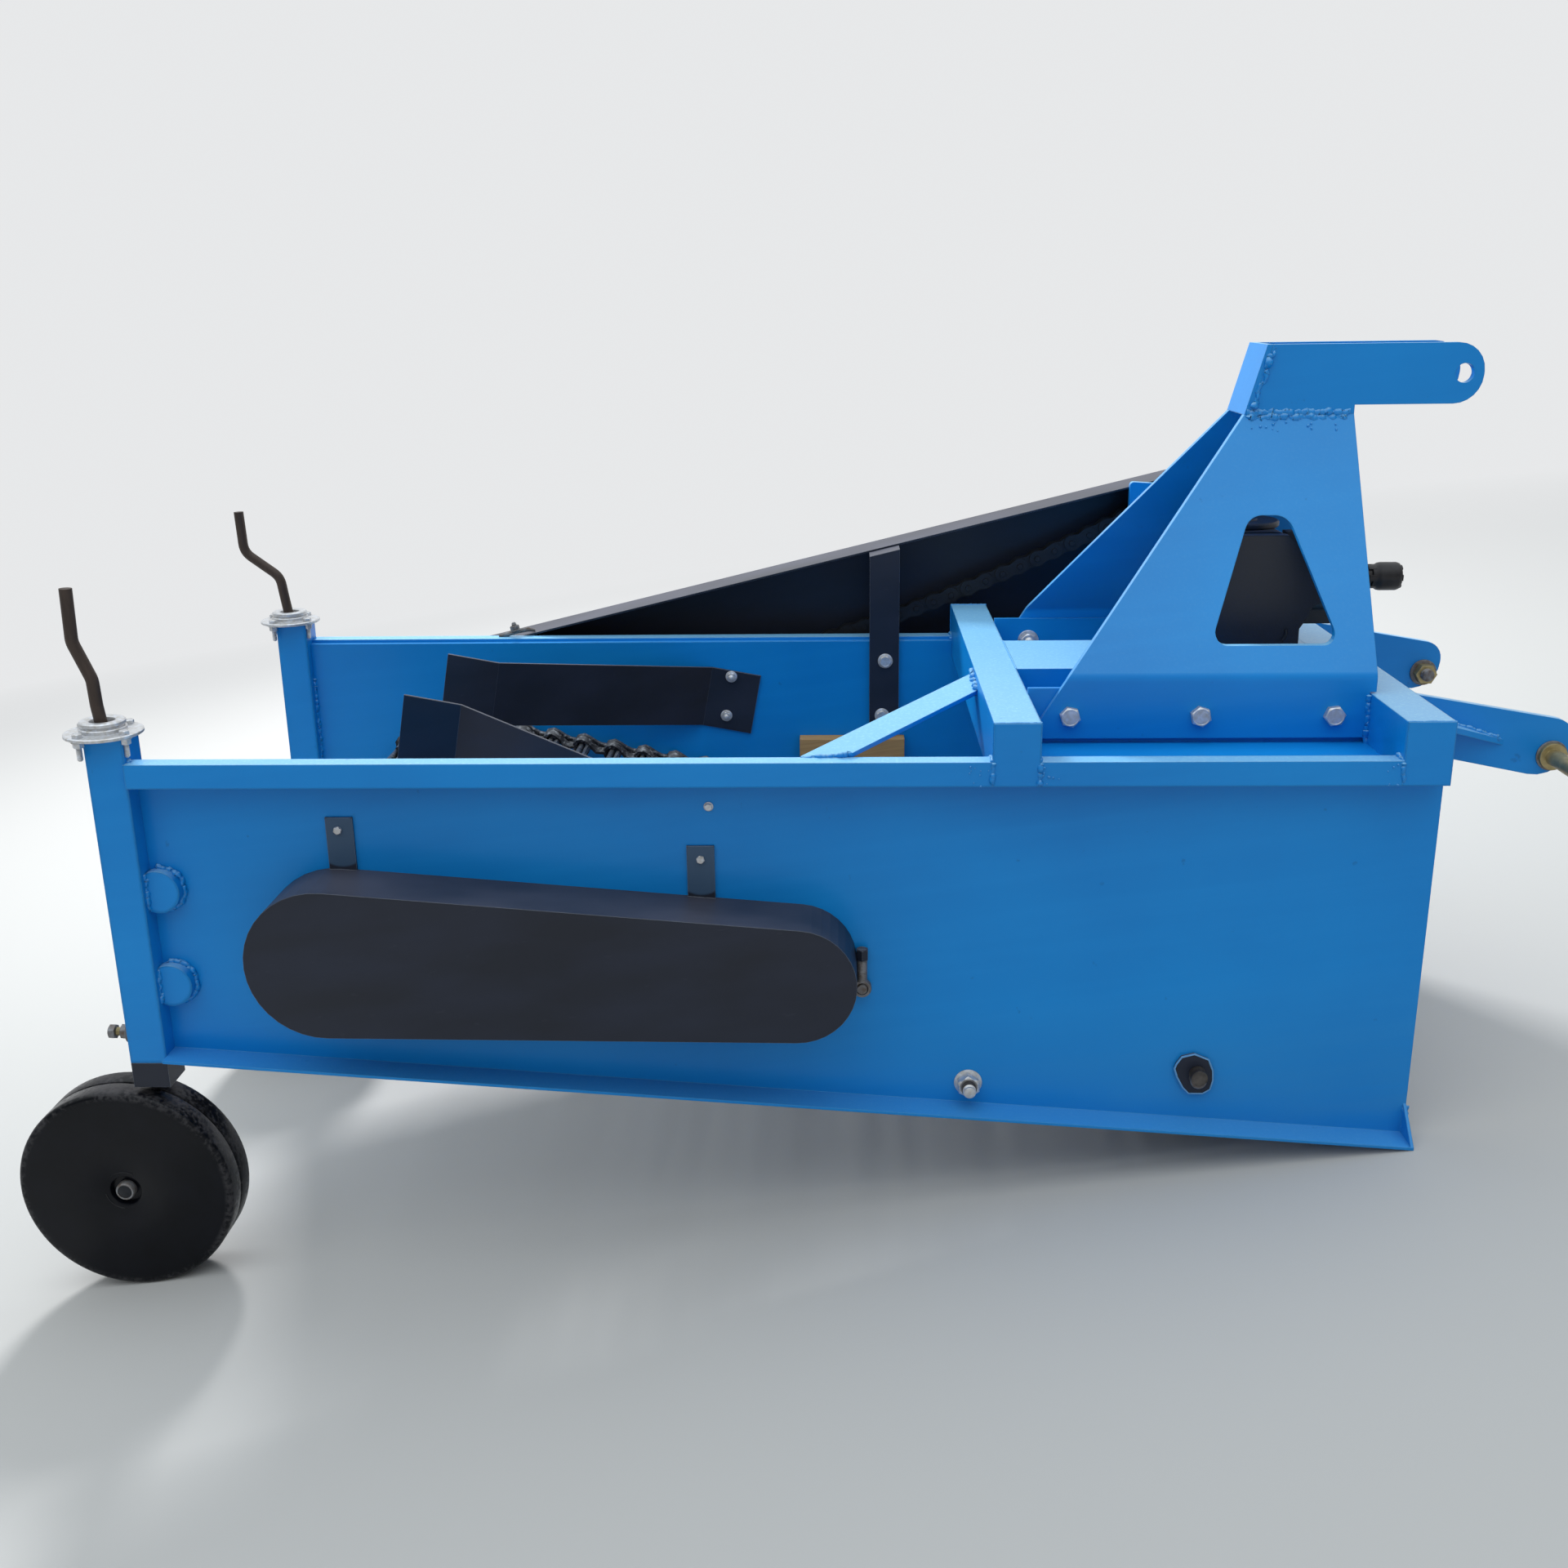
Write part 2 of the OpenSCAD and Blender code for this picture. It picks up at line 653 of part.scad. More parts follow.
// Input shaft: journal in the boss, neck, and a six-splined stub
stub_l = 48;
module input_shaft() {
    root_r = spline_r - 3;
    spline_w = 8.7;
    color(steel) {
        translate([boss_x - 59, 0, drive_z]) rotate([0, 90, 0])
            cylinder(r = journal_r, h = stub_x - boss_x + 59 - stub_l, $fn = round_fn);
        translate([stub_x - stub_l, 0, drive_z]) rotate([0, 90, 0])
            cylinder(r = root_r, h = stub_l, $fn = round_fn);
        intersection() {
            translate([stub_x - stub_l, 0, drive_z]) rotate([0, 90, 0])
                cylinder(r = spline_r, h = stub_l, $fn = round_fn);
            for (a = [0, 60, 120]) translate([stub_x - stub_l, 0, drive_z]) rotate([a, 0, 0])
                translate([0, -spline_r - 1, -spline_w / 2]) cube([stub_l, 2 * spline_r + 2, spline_w]);
        }
    }
}

// Toothed wheel across the shaft: n teeth between a root and a tip radius
module toothed(n, root, tip, start = 0, wide = 0.3, narrow = 0.12) {
    polygon([for (i = [0:n - 1]) for (e = [[-wide, root], [-narrow, tip], [narrow, tip], [wide, root]])
        e[1] * normal(start - (i + e[0]) * 360 / n)]);
}

// Stand on the left rail that carries the outer end of the cross shaft's housing
stand_t = 12;
stand_y = half_w - stand_t;
stand_half_l = 88;
module bearing_stand() {
    color(blue) difference() {
        upright(stand_y, stand_t) polygon(outline([
            [cross_x - stand_half_l, rail_top, 0], [cross_x + stand_half_l, rail_top, 0],
            [cross_x + 66, drive_z + 84, 24], [cross_x - stand_half_l, drive_z + 94, 6]
        ]));
        bar_y(cross_x, drive_z, shaft_r + seat_gap, stand_y - 1, half_w + 1);
    }
}

// Cross shaft in its housing tube, with the driving sprocket at its outer end
sprocket_t = 7;
tooth_rise = 4;
hub_l = 34;
module cross_shaft() {
    color(black) difference() {
        bar_y(cross_x, drive_z, housing_r, box_w / 2 + side_boss_l, stand_y);
        bar_y(cross_x, drive_z, shaft_r, box_w / 2, half_w);
    }
    color(steel) {
        bar_y(cross_x, drive_z, shaft_r, box_w / 2 + side_boss_l, chain_y + 12);
        bar_y(cross_x, drive_z, shaft_r + 10, chain_y - hub_l, chain_y - sprocket_t / 2);
        upright(chain_y - sprocket_t / 2, sprocket_t) translate([cross_x, drive_z])
            toothed(drive_teeth, drive_r - 9, drive_r + tooth_rise, lead(drive_wheels[0], drive_wheels[1]));
    }
}

// Side chain: one loop with a waisted outline; its upper run sags
plate_h = 9;
waist_h = 5.5;
drive_wheels = [[head_x, head_z, driven_r], [cross_x, drive_z, drive_r]];
tight_path = belt(drive_wheels, 15);
rear_steps = ceil(positive(lead(drive_wheels[1], drive_wheels[0])
    - lead(drive_wheels[0], drive_wheels[1])) / 15);
run_start = tight_path[rear_steps];
run_end = tight_path[rear_steps + 1];
sag_steps = 14;
chain_path = [
    for (i = [0:rear_steps]) tight_path[i],
    for (k = [1:sag_steps - 1]) let (f = k / sag_steps)
        run_start + (run_end - run_start) * f - [0, 4 * chain_sag * f * (1 - f)],
    for (i = [rear_steps + 1:len(tight_path) - 1]) tight_path[i]
];
chain_length = loop_length(chain_path);
links = 2 * round(chain_length / chain_pitch / 2);
module side_chain() {
    step = chain_length / links;
    places = [for (i = [0:2 * links - 1]) along(chain_path, i * step / 2 + 0.01)];
    outer = [for (i = [0:2 * links - 1]) beside(places[i], i % 2 == 0 ? plate_h : waist_h)];
    inner = [for (i = [0:2 * links - 1]) beside(places[i], i % 2 == 0 ? -plate_h : -waist_h)];
    slot = sprocket_t / 2 + 0.5;
    color(steel) difference() {
        upright(chain_y - chain_w / 2, chain_w) difference() {
            polygon(outer);
            polygon(inner);
        }
        for (w = [[head_x, head_z, driven_r], [cross_x, drive_z, drive_r]])
            bar_y(w.x, w.y, w.z + tooth_rise + 0.5, chain_y - slot, chain_y + slot);
    }
}

// A tray of sheet: a plate with a flange all round, open towards the machine
module tray(outer, inner, y0, y1, t) {
    difference() {
        upright(y0, y1 - y0) polygon(outer);
        upright(y0 - 1, y1 - y0 - t + 1) polygon(inner);
    }
}

// Guard over the side chain, with the hooked bracket that holds its top flange
guard_rear_x = 195;
guard_front_x = 1655;
guard_low_z = 395;
guard_rear_top = 706;
guard_corners = [
    [guard_rear_x, guard_low_z, 20], [guard_rear_x + 245, guard_low_z, 40],
    [guard_front_x, 850, 20], [guard_front_x, guard_rear_top + guard_rise, 20],
    [guard_rear_x, guard_rear_top, 20]
];
function guard_top(x) = guard_rear_top
    + guard_rise * (x - guard_rear_x) / (guard_front_x - guard_rear_x);
module chain_guard() {
    color(black) tray(outline(guard_corners), outline(inset(guard_corners, guard_t)),
        half_w, guard_y, guard_t);
}
bracket_x = 1044;
bracket_foot_z = 605;
bracket_reach = 60;
module guard_bracket() {
    top = guard_top(bracket_x) - guard_t * 1.03;
    y = sheet_in - bracket_t;
    color(black) {
        translate([bracket_x, y, bracket_foot_z])
            cube([bracket_w, bracket_t, top - bracket_t - bracket_foot_z]);
        intersection() {
            translate([bracket_x, y, top - 2 * bracket_t]) cube([bracket_w, bracket_reach + bracket_t, 8 * bracket_t]);
            upright(y, bracket_reach + bracket_t) polygon([
                [bracket_x, top - bracket_t], [bracket_x + bracket_w, top - bracket_t],
                [bracket_x + bracket_w, top + bracket_w * 0.238], [bracket_x, top]
            ]);
        }
    }
}

// Oval cover over the chain on the right wall, with its two tabs
cover_wheels = [[head_x, head_z, cover_rear_r], [shaker_x, shaker_z, cover_front_r]];
tabs = [[340, 684, 592], [811, 644, 556]];
tab_w = 36;
tab_t = 4;
module chain_cover() {
    side(false) color(black) {
        tray(belt(cover_wheels, 10), belt(grown(cover_wheels, -guard_t), 10),
            sheet_out, cover_y, guard_t);
        for (t = tabs) difference() {
            translate([t[0] - tab_w / 2, sheet_out, t[2]]) cube([tab_w, tab_t, t[1] - t[2]]);
            upright(sheet_out - 1, tab_t + 2) polygon(belt(grown(cover_wheels, -guard_t), 10));
        }
    }
}

// Web path: head sprockets, shaker, front idler and, below, the support rollers
web_wheels = [
    [head_x, head_z, head_r], [shaker_x, shaker_z, shaker_r],
    [idler_x, idler_z, idler_r], [roller_x, roller_z, -roller_r]
];
web_path = belt(web_wheels, 12);
web_length = loop_length(web_path);
rods = round(web_length / web_pitch);
strand_low = 8;
strand_top = 5;
module elevator_web() {
    step = web_length / rods;
    marks = [for (i = [0:rods - 1]) for (f = [[-0.2, strand_top], [-0.1, hook_h], [0.1, hook_h], [0.2, strand_top]])
        beside(along(web_path, (i + 1 + f[0]) * step), f[1])];
    inner = [for (i = [0:rods - 1]) beside(along(web_path, (i + 1) * step), -strand_low)];
    color(steel) union() {
        for (y = [-web_w / 2, web_w / 2 - strand_w]) upright(y, strand_w) difference() {
            polygon(marks);
            polygon(inner);
        }
        for (i = [1:rods]) let (p = along(web_path, i * step))
            translate([p.x, -web_w / 2 + strand_w / 2, p.y]) rotate([-90, 0, 0])
                cylinder(r = rod_r, h = web_w - strand_w, $fn = 8);
    }
}

// Shafts inside the web, with what they carry
sprocket_y = sheet_in - 104;
sprocket_ys = [-sprocket_y, 0, sprocket_y];
head_disc_t = 12;
module head_shaft() {
    color(steel) {
        bar_y(head_x, head_z, shaft_r, -(sheet_out + 40), chain_y + 12);
        for (y = sprocket_ys) upright(y - head_disc_t / 2, head_disc_t) translate([head_x, head_z])
            toothed(head_teeth, head_r - disc_fit, head_r + rod_r,
                lead(web_wheels[3], web_wheels[0]) - 180 / head_teeth, 0.22, 0.12);
        bar_y(head_x, head_z, shaft_r + 10, chain_y - hub_l, chain_y - sprocket_t / 2);
        upright(chain_y - sprocket_t / 2, sprocket_t) translate([head_x, head_z])
            toothed(driven_teeth, driven_r - 9, driven_r + tooth_rise, lead(drive_wheels[1], drive_wheels[0]));
    }
}
lobe_l = 40;
lobe_w = 30;
lobe_y = sheet_in - 84;
module shaker_shaft() {
    lobe_h = shaker_r - disc_fit - 2;
    color(steel) {
        bar_y(shaker_x, shaker_z, shaft_r, -(sheet_out + 40), sheet_out + 14);
        for (y = [-lobe_y, lobe_y]) upright(y - lobe_w / 2, lobe_w) translate([shaker_x, shaker_z])
            polygon([for (a = [0:12:348]) [lobe_l * cos(a), lobe_h * sin(a)]]);
    }
}
idler_shaft_r = 11;
idler_plate_r = 42;
disc_in_y = sheet_in - 74;
disc_out_y = sheet_in - 32;
module front_idler() {
    color(steel) {
        bar_y(idler_x, idler_z, idler_shaft_r, -(sheet_out + 22), sheet_out + 22);
        for (left = [true, false]) side(left) {
            bar_y(idler_x, idler_z, idler_r - disc_fit, disc_in_y, disc_out_y);
            bar_y(idler_x, idler_z, idler_plate_r, sheet_in - 6, sheet_in);
        }
    }
}
roller_bolt_r = 10;
module support_rollers() {
    for (left = [true, false]) side(left) color(steel) {
        bar_y(roller_x, roller_z, roller_r - disc_fit, disc_in_y + 5, disc_out_y);
        bar_y(roller_x, roller_z, roller_bolt_r, disc_out_y, sheet_out + 24);
        bar_y(roller_x, roller_z, roller_bolt_r + 6, disc_out_y, sheet_in);
    }
}

// Bearing housings of the head and shaker shafts, on the inside of the walls
bearing_r = 46;
bearing_t = 12;
module shaft_bearings() {
    for (left = [true, false]) side(left) color(black)
        for (p = [[head_x, head_z], [shaker_x, shaker_z]]) difference() {
            bar_y(p.x, p.y, bearing_r, sheet_in - bearing_t, sheet_in);
            bar_y(p.x, p.y, shaft_r + seat_gap, sheet_in - bearing_t - 1, sheet_in + 1);
        }
}

// Share with a pointed front edge, and finger rods that lead on to the web
share_slope = atan((share_rear_z - share_tip_z) / (share_tip_x - share_rear_x));
share_l = norm([share_tip_x - share_rear_x, share_rear_z - share_tip_z]);
point_l = 34;
finger_r = 5;
finger_w = 2 * (sheet_in - 54);
module share() {
    point_w = 2 * sheet_in / share_points;
    color(steel) {
        translate([share_tip_x, 0, share_tip_z]) rotate([0, share_slope, 0])
            linear_extrude(share_t) polygon([
                [-share_l, sheet_in], [-share_l, -sheet_in],
                for (i = [0:share_points - 1]) for (e = [[0, point_l], [0.5, 0]])
                    [-e[1], -sheet_in + (i + e[0]) * point_w],
                [-point_l, sheet_in]
            ]);
        for (i = [0:fingers - 1]) translate([share_rear_x + 20, finger_w * (i / (fingers - 1) - 0.5), share_rear_z + 4])
            rotate([0, -62, 0]) cylinder(r = finger_r, h = 78, $fn = 8);
    }
}

// Square beam under the share, from wall to wall
share_beam_w = 44;
share_beam_x = 1610;
module share_beam() {
    top = share_tip_z + (share_tip_x - share_beam_x - share_beam_w) * tan(share_slope);
    color(blue) upright(-sheet_in, 2 * sheet_in) polygon([
        [share_beam_x, top - 38], [share_beam_x + share_beam_w, top - 38],
        [share_beam_x + share_beam_w, top], [share_beam_x, top + share_beam_w * tan(share_slope)]
    ]);
}

// Deflector: a strip that is flat on the wall in front and folds in behind
module deflector(left) {
    flat = 84;
    run = 325;
    tail = 82;
    t = deflector_t;
    y = sheet_in;
    in = sheet_in - deflector_reach;
    side(left) color(black) translate([deflector_x, 0, deflector_z]) rotate([0, deflector_rise, 0])
        linear_extrude(deflector_h) polygon([
            [flat, y], [0, y], [-run, in], [-run - tail, in],
            [-run - tail, in - t], [-run, in - t], [0, y - t], [flat, y - t]
        ]);
}

// Wooden block on the left wall, beside the web
block_x = 924;
block_z = 556;
block = [180, 30, 38];
module rub_block() {
    color(wood) translate([block_x, sheet_in - block.y, block_z]) cube(block);
}

// Crank flanges on the posts, and the bent crank rods
flange_t = 5;
collar_rim = 9;
module crank_flanges() {
    collar_z = flange_ring_h - collar_rim;
    for (left = [true, false]) side(left) color(zinc)
        translate([post_mid - flange_back, post_y, post_top_z]) difference() {
            union() {
                cylinder(r = flange_r, h = flange_t, $fn = round_fn);
                cylinder(r = flange_ring_r - 3, h = flange_ring_h - 1, $fn = round_fn);
                translate([0, 0, collar_z]) cylinder(r = flange_ring_r, h = collar_rim, $fn = round_fn);
            }
            translate([0, 0, -1]) cylinder(r = crank_r + seat_gap, h = flange_ring_h + 2, $fn = round_fn);
            translate([0, 0, flange_t]) cylinder(r = flange_bore_r, h = flange_ring_h, $fn = round_fn);
        }
}
elbow_swell = 0.3;
module crank(left, throw) {
    stem = post_top_z + 86;
    shoulder = post_top_z + 134;
    screw_l = 120;
    side(left) color(dark_rod) translate([post_mid - flange_back, post_y, 0]) {
        translate([0, 0, post_top_z - screw_l]) cylinder(r = crank_r, h = stem - post_top_z + screw_l, $fn = round_fn);
        translate([0, 0, stem]) sphere(r = crank_r + elbow_swell, $fn = round_fn);
        translate([0, 0, stem]) rotate([0, -atan(throw / (shoulder - stem)), 0])
            cylinder(r = crank_r, h = norm([throw, shoulder - stem]), $fn = round_fn);
        translate([-throw, 0, shoulder]) sphere(r = crank_r + elbow_swell, $fn = round_fn);
        translate([-throw, 0, shoulder]) cylinder(r = crank_r, h = crank_top_z - shoulder, $fn = round_fn);
    }
}

// Leg: square tube in the post, black collar, wheel arm on the inner side, axle bolt
arm_y = post_y - wheel_w / 2 - arm_gap - arm_t;
module leg(left) {
    tube = post_w - 2 * post_t - 2 * leg_gap;
    collar_foot = post_foot_z - seat_gap - collar_h;
    side(left) color(black) {
        translate([post_mid - tube / 2, post_y - tube / 2, collar_foot])
            cube([tube, tube, leg_held + collar_h]);
        translate([post_x, post_y - post_w / 2, collar_foot]) cube([post_w, post_w, collar_h]);
        translate([post_x, arm_y, collar_foot]) cube([arm_w, post_y - arm_y, collar_h]);
        upright(arm_y, arm_t) polygon([
            [post_x, post_foot_z - seat_gap], [post_x, collar_foot - 40],
            for (a = [180:15:360]) [arm_r * cos(a), wheel_r + arm_r * sin(a)],
            [post_x + arm_w, collar_foot], [post_x + arm_w, post_foot_z - seat_gap]
        ]);
        bar_y(0, wheel_r, axle_r, arm_y - 16, post_y + wheel_w / 2 - 2);
        translate([0, arm_y, wheel_r]) rotate([90, 0, 0]) cylinder(r = 17, h = 13, $fn = 6);
    }
}

// Depth wheel: pressed drum with rounded rims, a seam groove and a hub recess
module wheel(left) {
    w = wheel_w / 2;
    groove = 3;
    dish = 3;
    bore = axle_r + run_gap;
    half = outline([
        [bore, -w + 8, 0], [hub_r, -w + 8, 0], [hub_r, -w + dish, 0], [wheel_r - 30, -w + dish, 0],
        [wheel_r - 24, -w, 0], [wheel_r, -w, wheel_round], [wheel_r, -groove, 0],
        [wheel_r - groove, 0, 0]
    ]);
    side(left) color(black) translate([0, post_y, wheel_r]) rotate([-90, 0, 0])
        rotate_extrude($fn = 96) polygon([
            each half,
            for (i = [len(half) - 2:-1:0]) [half[i].x, -half[i].y]
        ]);
}

stand() {
    wall(true);  // wall_left
    wall(false);  // wall_right
    rail(true);  // rail_left
    rail(false);  // rail_right
    post(true);  // post_left
    post(false);  // post_right
    cross_tube(mid_tube_x);  // cross_tube_mid
    cross_tube(front_tube_x);  // cross_tube_front
    brace();
    mast_plate(true);  // mast_plate_left
    mast_plate(false);  // mast_plate_right
    mast_rails();
    mast_cap();
    top_link_lugs();
    hitch_plate(true);  // hitch_plate_left
    hitch_plate(false);  // hitch_plate_right
    hitch_pin(true);  // hitch_pin_left
    hitch_pin(false);  // hitch_pin_right
    gearbox_bed();
    gearbox();
    input_shaft();
    cross_shaft();
    bearing_stand();
    side_chain();
    chain_guard();
    guard_bracket();
    chain_cover();
    head_shaft();
    shaker_shaft();
    front_idler();
    support_rollers();
    shaft_bearings();
    elevator_web();
    share();
    share_beam();
    deflector(true);  // deflector_left
    deflector(false);  // deflector_right
    rub_block();
    crank_flanges();
    crank(true, crank_throw_left);  // crank_left
    crank(false, crank_throw_right);  // crank_right
    leg(true);  // leg_left
    leg(false);  // leg_right
    wheel(true);  // wheel_left
    wheel(false);  // wheel_right
}
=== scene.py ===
import json
import math
import random

import bpy
from mathutils import Matrix, Vector


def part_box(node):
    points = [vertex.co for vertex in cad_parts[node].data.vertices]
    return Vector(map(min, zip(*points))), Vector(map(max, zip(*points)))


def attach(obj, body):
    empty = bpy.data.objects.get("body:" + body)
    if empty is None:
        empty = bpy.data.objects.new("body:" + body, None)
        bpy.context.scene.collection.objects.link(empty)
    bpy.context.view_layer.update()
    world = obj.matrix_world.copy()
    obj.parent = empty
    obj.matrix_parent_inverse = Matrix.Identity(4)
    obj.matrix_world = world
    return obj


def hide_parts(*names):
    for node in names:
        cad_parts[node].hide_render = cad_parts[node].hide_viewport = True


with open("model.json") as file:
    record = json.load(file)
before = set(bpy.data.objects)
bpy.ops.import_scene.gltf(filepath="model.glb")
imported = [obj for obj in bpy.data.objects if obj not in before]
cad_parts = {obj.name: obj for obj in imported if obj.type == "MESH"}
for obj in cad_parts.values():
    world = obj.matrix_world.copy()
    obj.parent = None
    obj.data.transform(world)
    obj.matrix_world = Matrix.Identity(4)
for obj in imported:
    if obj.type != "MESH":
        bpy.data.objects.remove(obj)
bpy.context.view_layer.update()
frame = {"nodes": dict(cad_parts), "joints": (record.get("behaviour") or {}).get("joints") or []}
scene = bpy.context.scene

# The digger stands nose low, on its two depth wheels and the front corners of its side
# walls. Pieces are drawn square to the machine: x forward from the wheel axle, y left
# from the middle, z up from the underside of the wheels, all in metres.
wheel_r = 0.150
leg_slide = next(j for j in frame["joints"] if j["name"] == "leg_left_slide")
upward = -Vector(leg_slide["axis"])
leftward = Vector((0, 1, 0))
forward = leftward.cross(upward)
wheel_corners = [corner for side in ("left", "right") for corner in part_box(f"wheel_{side}")]
axle = sum(wheel_corners, Vector()) / len(wheel_corners)
stand = Matrix((forward, leftward, upward)).transposed().to_4x4()
stand.translation = axle - upward * wheel_r
random.seed(7)

# Side walls: 4 mm steel sheet with a lip folded out along the foot, sprayed azure blue.
# The paint lies a little uneven and is dusty low down, and every edge has a painted highlight.
half_w = 0.393
wall_out = 0.358
wall_in = 0.354


def srgb(red, green, blue):
    """A colour of the photo's scale, 0 to 255, as the linear colour that a shader takes."""
    parts = [c / 255 for c in (red, green, blue)]
    return tuple(c / 12.92 if c < 0.04045 else ((c + 0.055) / 1.055) ** 2.4 for c in parts) + (1,)


class Wire:
    """One value or colour on its way through a finish; sums on it add Math nodes."""

    def __init__(self, finish, socket):
        self.finish = finish
        self.socket = socket

    def maths(self, operation, first, second):
        return self.finish.node("ShaderNodeMath", {"operation": operation}, {0: first, 1: second})

    def __add__(self, other):
        return self.maths("ADD", self, other)

    def __radd__(self, other):
        return self.maths("ADD", other, self)

    def __sub__(self, other):
        return self.maths("SUBTRACT", self, other)

    def __rsub__(self, other):
        return self.maths("SUBTRACT", other, self)

    def __mul__(self, other):
        return self.maths("MULTIPLY", self, other)

    def __rmul__(self, other):
        return self.maths("MULTIPLY", other, self)


class Finish:
    """One material. node() adds any node; what it returns can be used in sums."""

    def __init__(self, name, **fixed):
        self.material = bpy.data.materials.new(name)
        self.material.use_nodes = True
        self.tree = self.material.node_tree
        self.surface = self.tree.nodes["Principled BSDF"]
        for socket, value in fixed.items():
            self.surface.inputs[socket.replace("_", " ")].default_value = value

    def node(self, kind, settings=None, sockets=None, out=0):
        made = self.tree.nodes.new(kind)
        for name, value in (settings or {}).items():
            if name == "stops":
                ramp = made.color_ramp
                while len(ramp.elements) < len(value):
                    ramp.elements.new(1)
                for element, (place, colour) in zip(ramp.elements, value):
                    element.position = place
                    element.color = colour
            else:
                setattr(made, name, value)
        for name, value in (sockets or {}).items():
            self.feed(made.inputs[name], value)
        return Wire(self, made.outputs[out])

    def feed(self, socket, value):
        if isinstance(value, Wire):
            self.tree.links.new(value.socket, socket)
        else:
            socket.default_value = value

    def noise(self, size, detail=3.0, stretch=(1, 1, 1)):
        """Cloudy values from 0 to 1 whose patches are about size metres across."""
        place = self.node("ShaderNodeTexCoord", out=3)
        place = self.node("ShaderNodeVectorMath", {"operation": "MULTIPLY"}, {0: place, 1: stretch})
        return self.node("ShaderNodeTexNoise", {}, {"Vector": place, "Scale": 1 / size, "Detail": detail})

    def ramp(self, value, low, high):
        """0 below low, 1 above high, even between."""
        return self.node("ShaderNodeMapRange", {}, {"Value": value, "From Min": low, "From Max": high})

    def mix(self, share, first, second, blend="MIX"):
        settings = {"data_type": "RGBA", "blend_type": blend}
        return self.node("ShaderNodeMix", settings, {0: share, 6: first, 7: second}, out=2)

    def upward(self):
        """1 on faces that look up, 0 on upright and hanging ones."""
        normal = self.node("ShaderNodeNewGeometry", out=1)
        height = self.node("ShaderNodeSeparateXYZ", {}, {0: normal}, out=2)
        return self.ramp(height, 0.46, 0.97)

    def low_down(self, height):
        """1 at the floor, 0 at a height above it."""
        place = self.node("ShaderNodeNewGeometry")
        level = self.node("ShaderNodeSeparateXYZ", {}, {0: place}, out=2)
        return 1 - self.ramp(level, 0.02, height)

    def rim(self, centre, start, stop):
        """0 within a distance start of a wheel's axle line across the machine, 1 past stop."""
        place = self.node("ShaderNodeTexCoord", out=3)
        spoke = self.node("ShaderNodeVectorMath", {"operation": "SUBTRACT"}, {0: place, 1: tuple(centre)})
        spoke = self.node("ShaderNodeVectorMath", {"operation": "MULTIPLY"}, {0: spoke, 1: (1, 0, 1)})
        distance = self.node("ShaderNodeVectorMath", {"operation": "LENGTH"}, {0: spoke}, out=1)
        return self.ramp(distance, start, stop)

    def near(self, place, start, stop):
        """1 within a distance start of a place in the machine's axes, 0 past stop."""
        ends = {0: self.node("ShaderNodeNewGeometry"), 1: tuple(stand @ Vector(place))}
        distance = self.node("ShaderNodeVectorMath", {"operation": "DISTANCE"}, ends, out=1)
        return 1 - self.ramp(distance, start, stop)

    def edge_round(self, radius):
        return self.node("ShaderNodeBevel", {"samples": 4}, {"Radius": radius})

    def painted_edge_highlight(self, rounding):
        """1 on sharp edges and 0 on the flats: where a painted highlight goes. rounding is an edge_round."""
        normals = {0: self.node("ShaderNodeNewGeometry", out=1), 1: rounding}
        agreement = self.node("ShaderNodeVectorMath", {"operation": "DOT_PRODUCT"}, normals, out=1)
        return 1 - self.ramp(agreement, 0.75, 0.98)

    def relief(self, height, distance, strength=1.0, rounding=None):
        bump = {"Height": height, "Distance": distance, "Strength": strength}
        if rounding:
            bump["Normal"] = rounding
        self.feed(self.surface.inputs["Normal"], self.node("ShaderNodeBump", {}, bump))

    def show(self, colour, roughness):
        self.feed(self.surface.inputs["Base Color"], colour)
        self.feed(self.surface.inputs["Roughness"], roughness)


def azure_paint(name, rounding, gloss=0.08, glare=0.45):
    """The digger's paint. rounding is how softly it runs over the edges of what it covers,
    glare how much painted light from above pales the faces that look up."""
    paint = Finish(name, Coat_Weight=gloss, Coat_Roughness=0.15, Specular_IOR_Level=0.28)
    cloud = paint.noise(0.40, 4.0)
    streaks = paint.noise(0.05, 3.0, (0.10, 1, 2.2))
    specks = paint.noise(0.004, 2.0)
    azure = paint.mix(paint.ramp(cloud, 0.3, 0.7), srgb(6, 127, 208), srgb(10, 141, 222))
    azure = paint.mix(paint.ramp(streaks, 0.45, 0.8) * 0.22, azure, srgb(26, 150, 230))
    grime = paint.low_down(0.26) * paint.ramp(cloud + streaks * 0.4, 0.5, 0.95) * 0.25
    azure = paint.mix(grime, azure, srgb(78, 112, 132))
    # Painted light: faces that look up are painted a pale cyan, as if lit from above.
    painted_top_light = paint.upward() * (glare + paint.ramp(specks, 0.5, 0.8) * glare * 0.5)
    azure = paint.mix(painted_top_light, azure, srgb(172, 224, 238))
    azure = paint.mix(paint.ramp(paint.noise(0.018, 5.0), 0.72, 0.77) * 0.4, azure, srgb(6, 84, 156))
    # Painted highlight: sharp edges are painted a pale azure.
    azure = paint.mix(paint.painted_edge_highlight(paint.edge_round(0.0014)) * 0.40, azure, srgb(112, 190, 232))
    paint.show(azure, 0.30 + cloud * 0.10 + grime * 0.6)
    orange_peel = paint.noise(0.006, 2.0) * 0.7 + paint.noise(0.06, 2.0) * 2.0
    paint.relief(orange_peel, 0.0004, 0.35, paint.edge_round(rounding))
    return paint


# The walls are a shadier copy of the paint, with little painted light on faces that look up.
wall_paint = azure_paint("azure paint on walls", 0.0018, glare=0.08)
blue_paint = azure_paint("azure gloss paint", 0.0018)


def coat(finish, *nodes):
    """Gives CAD nodes their finish."""
    for name in nodes:
        frame["nodes"][name].data.materials.clear()
        frame["nodes"][name].data.materials.append(finish.material)


coat(wall_paint, "wall_left", "wall_right")

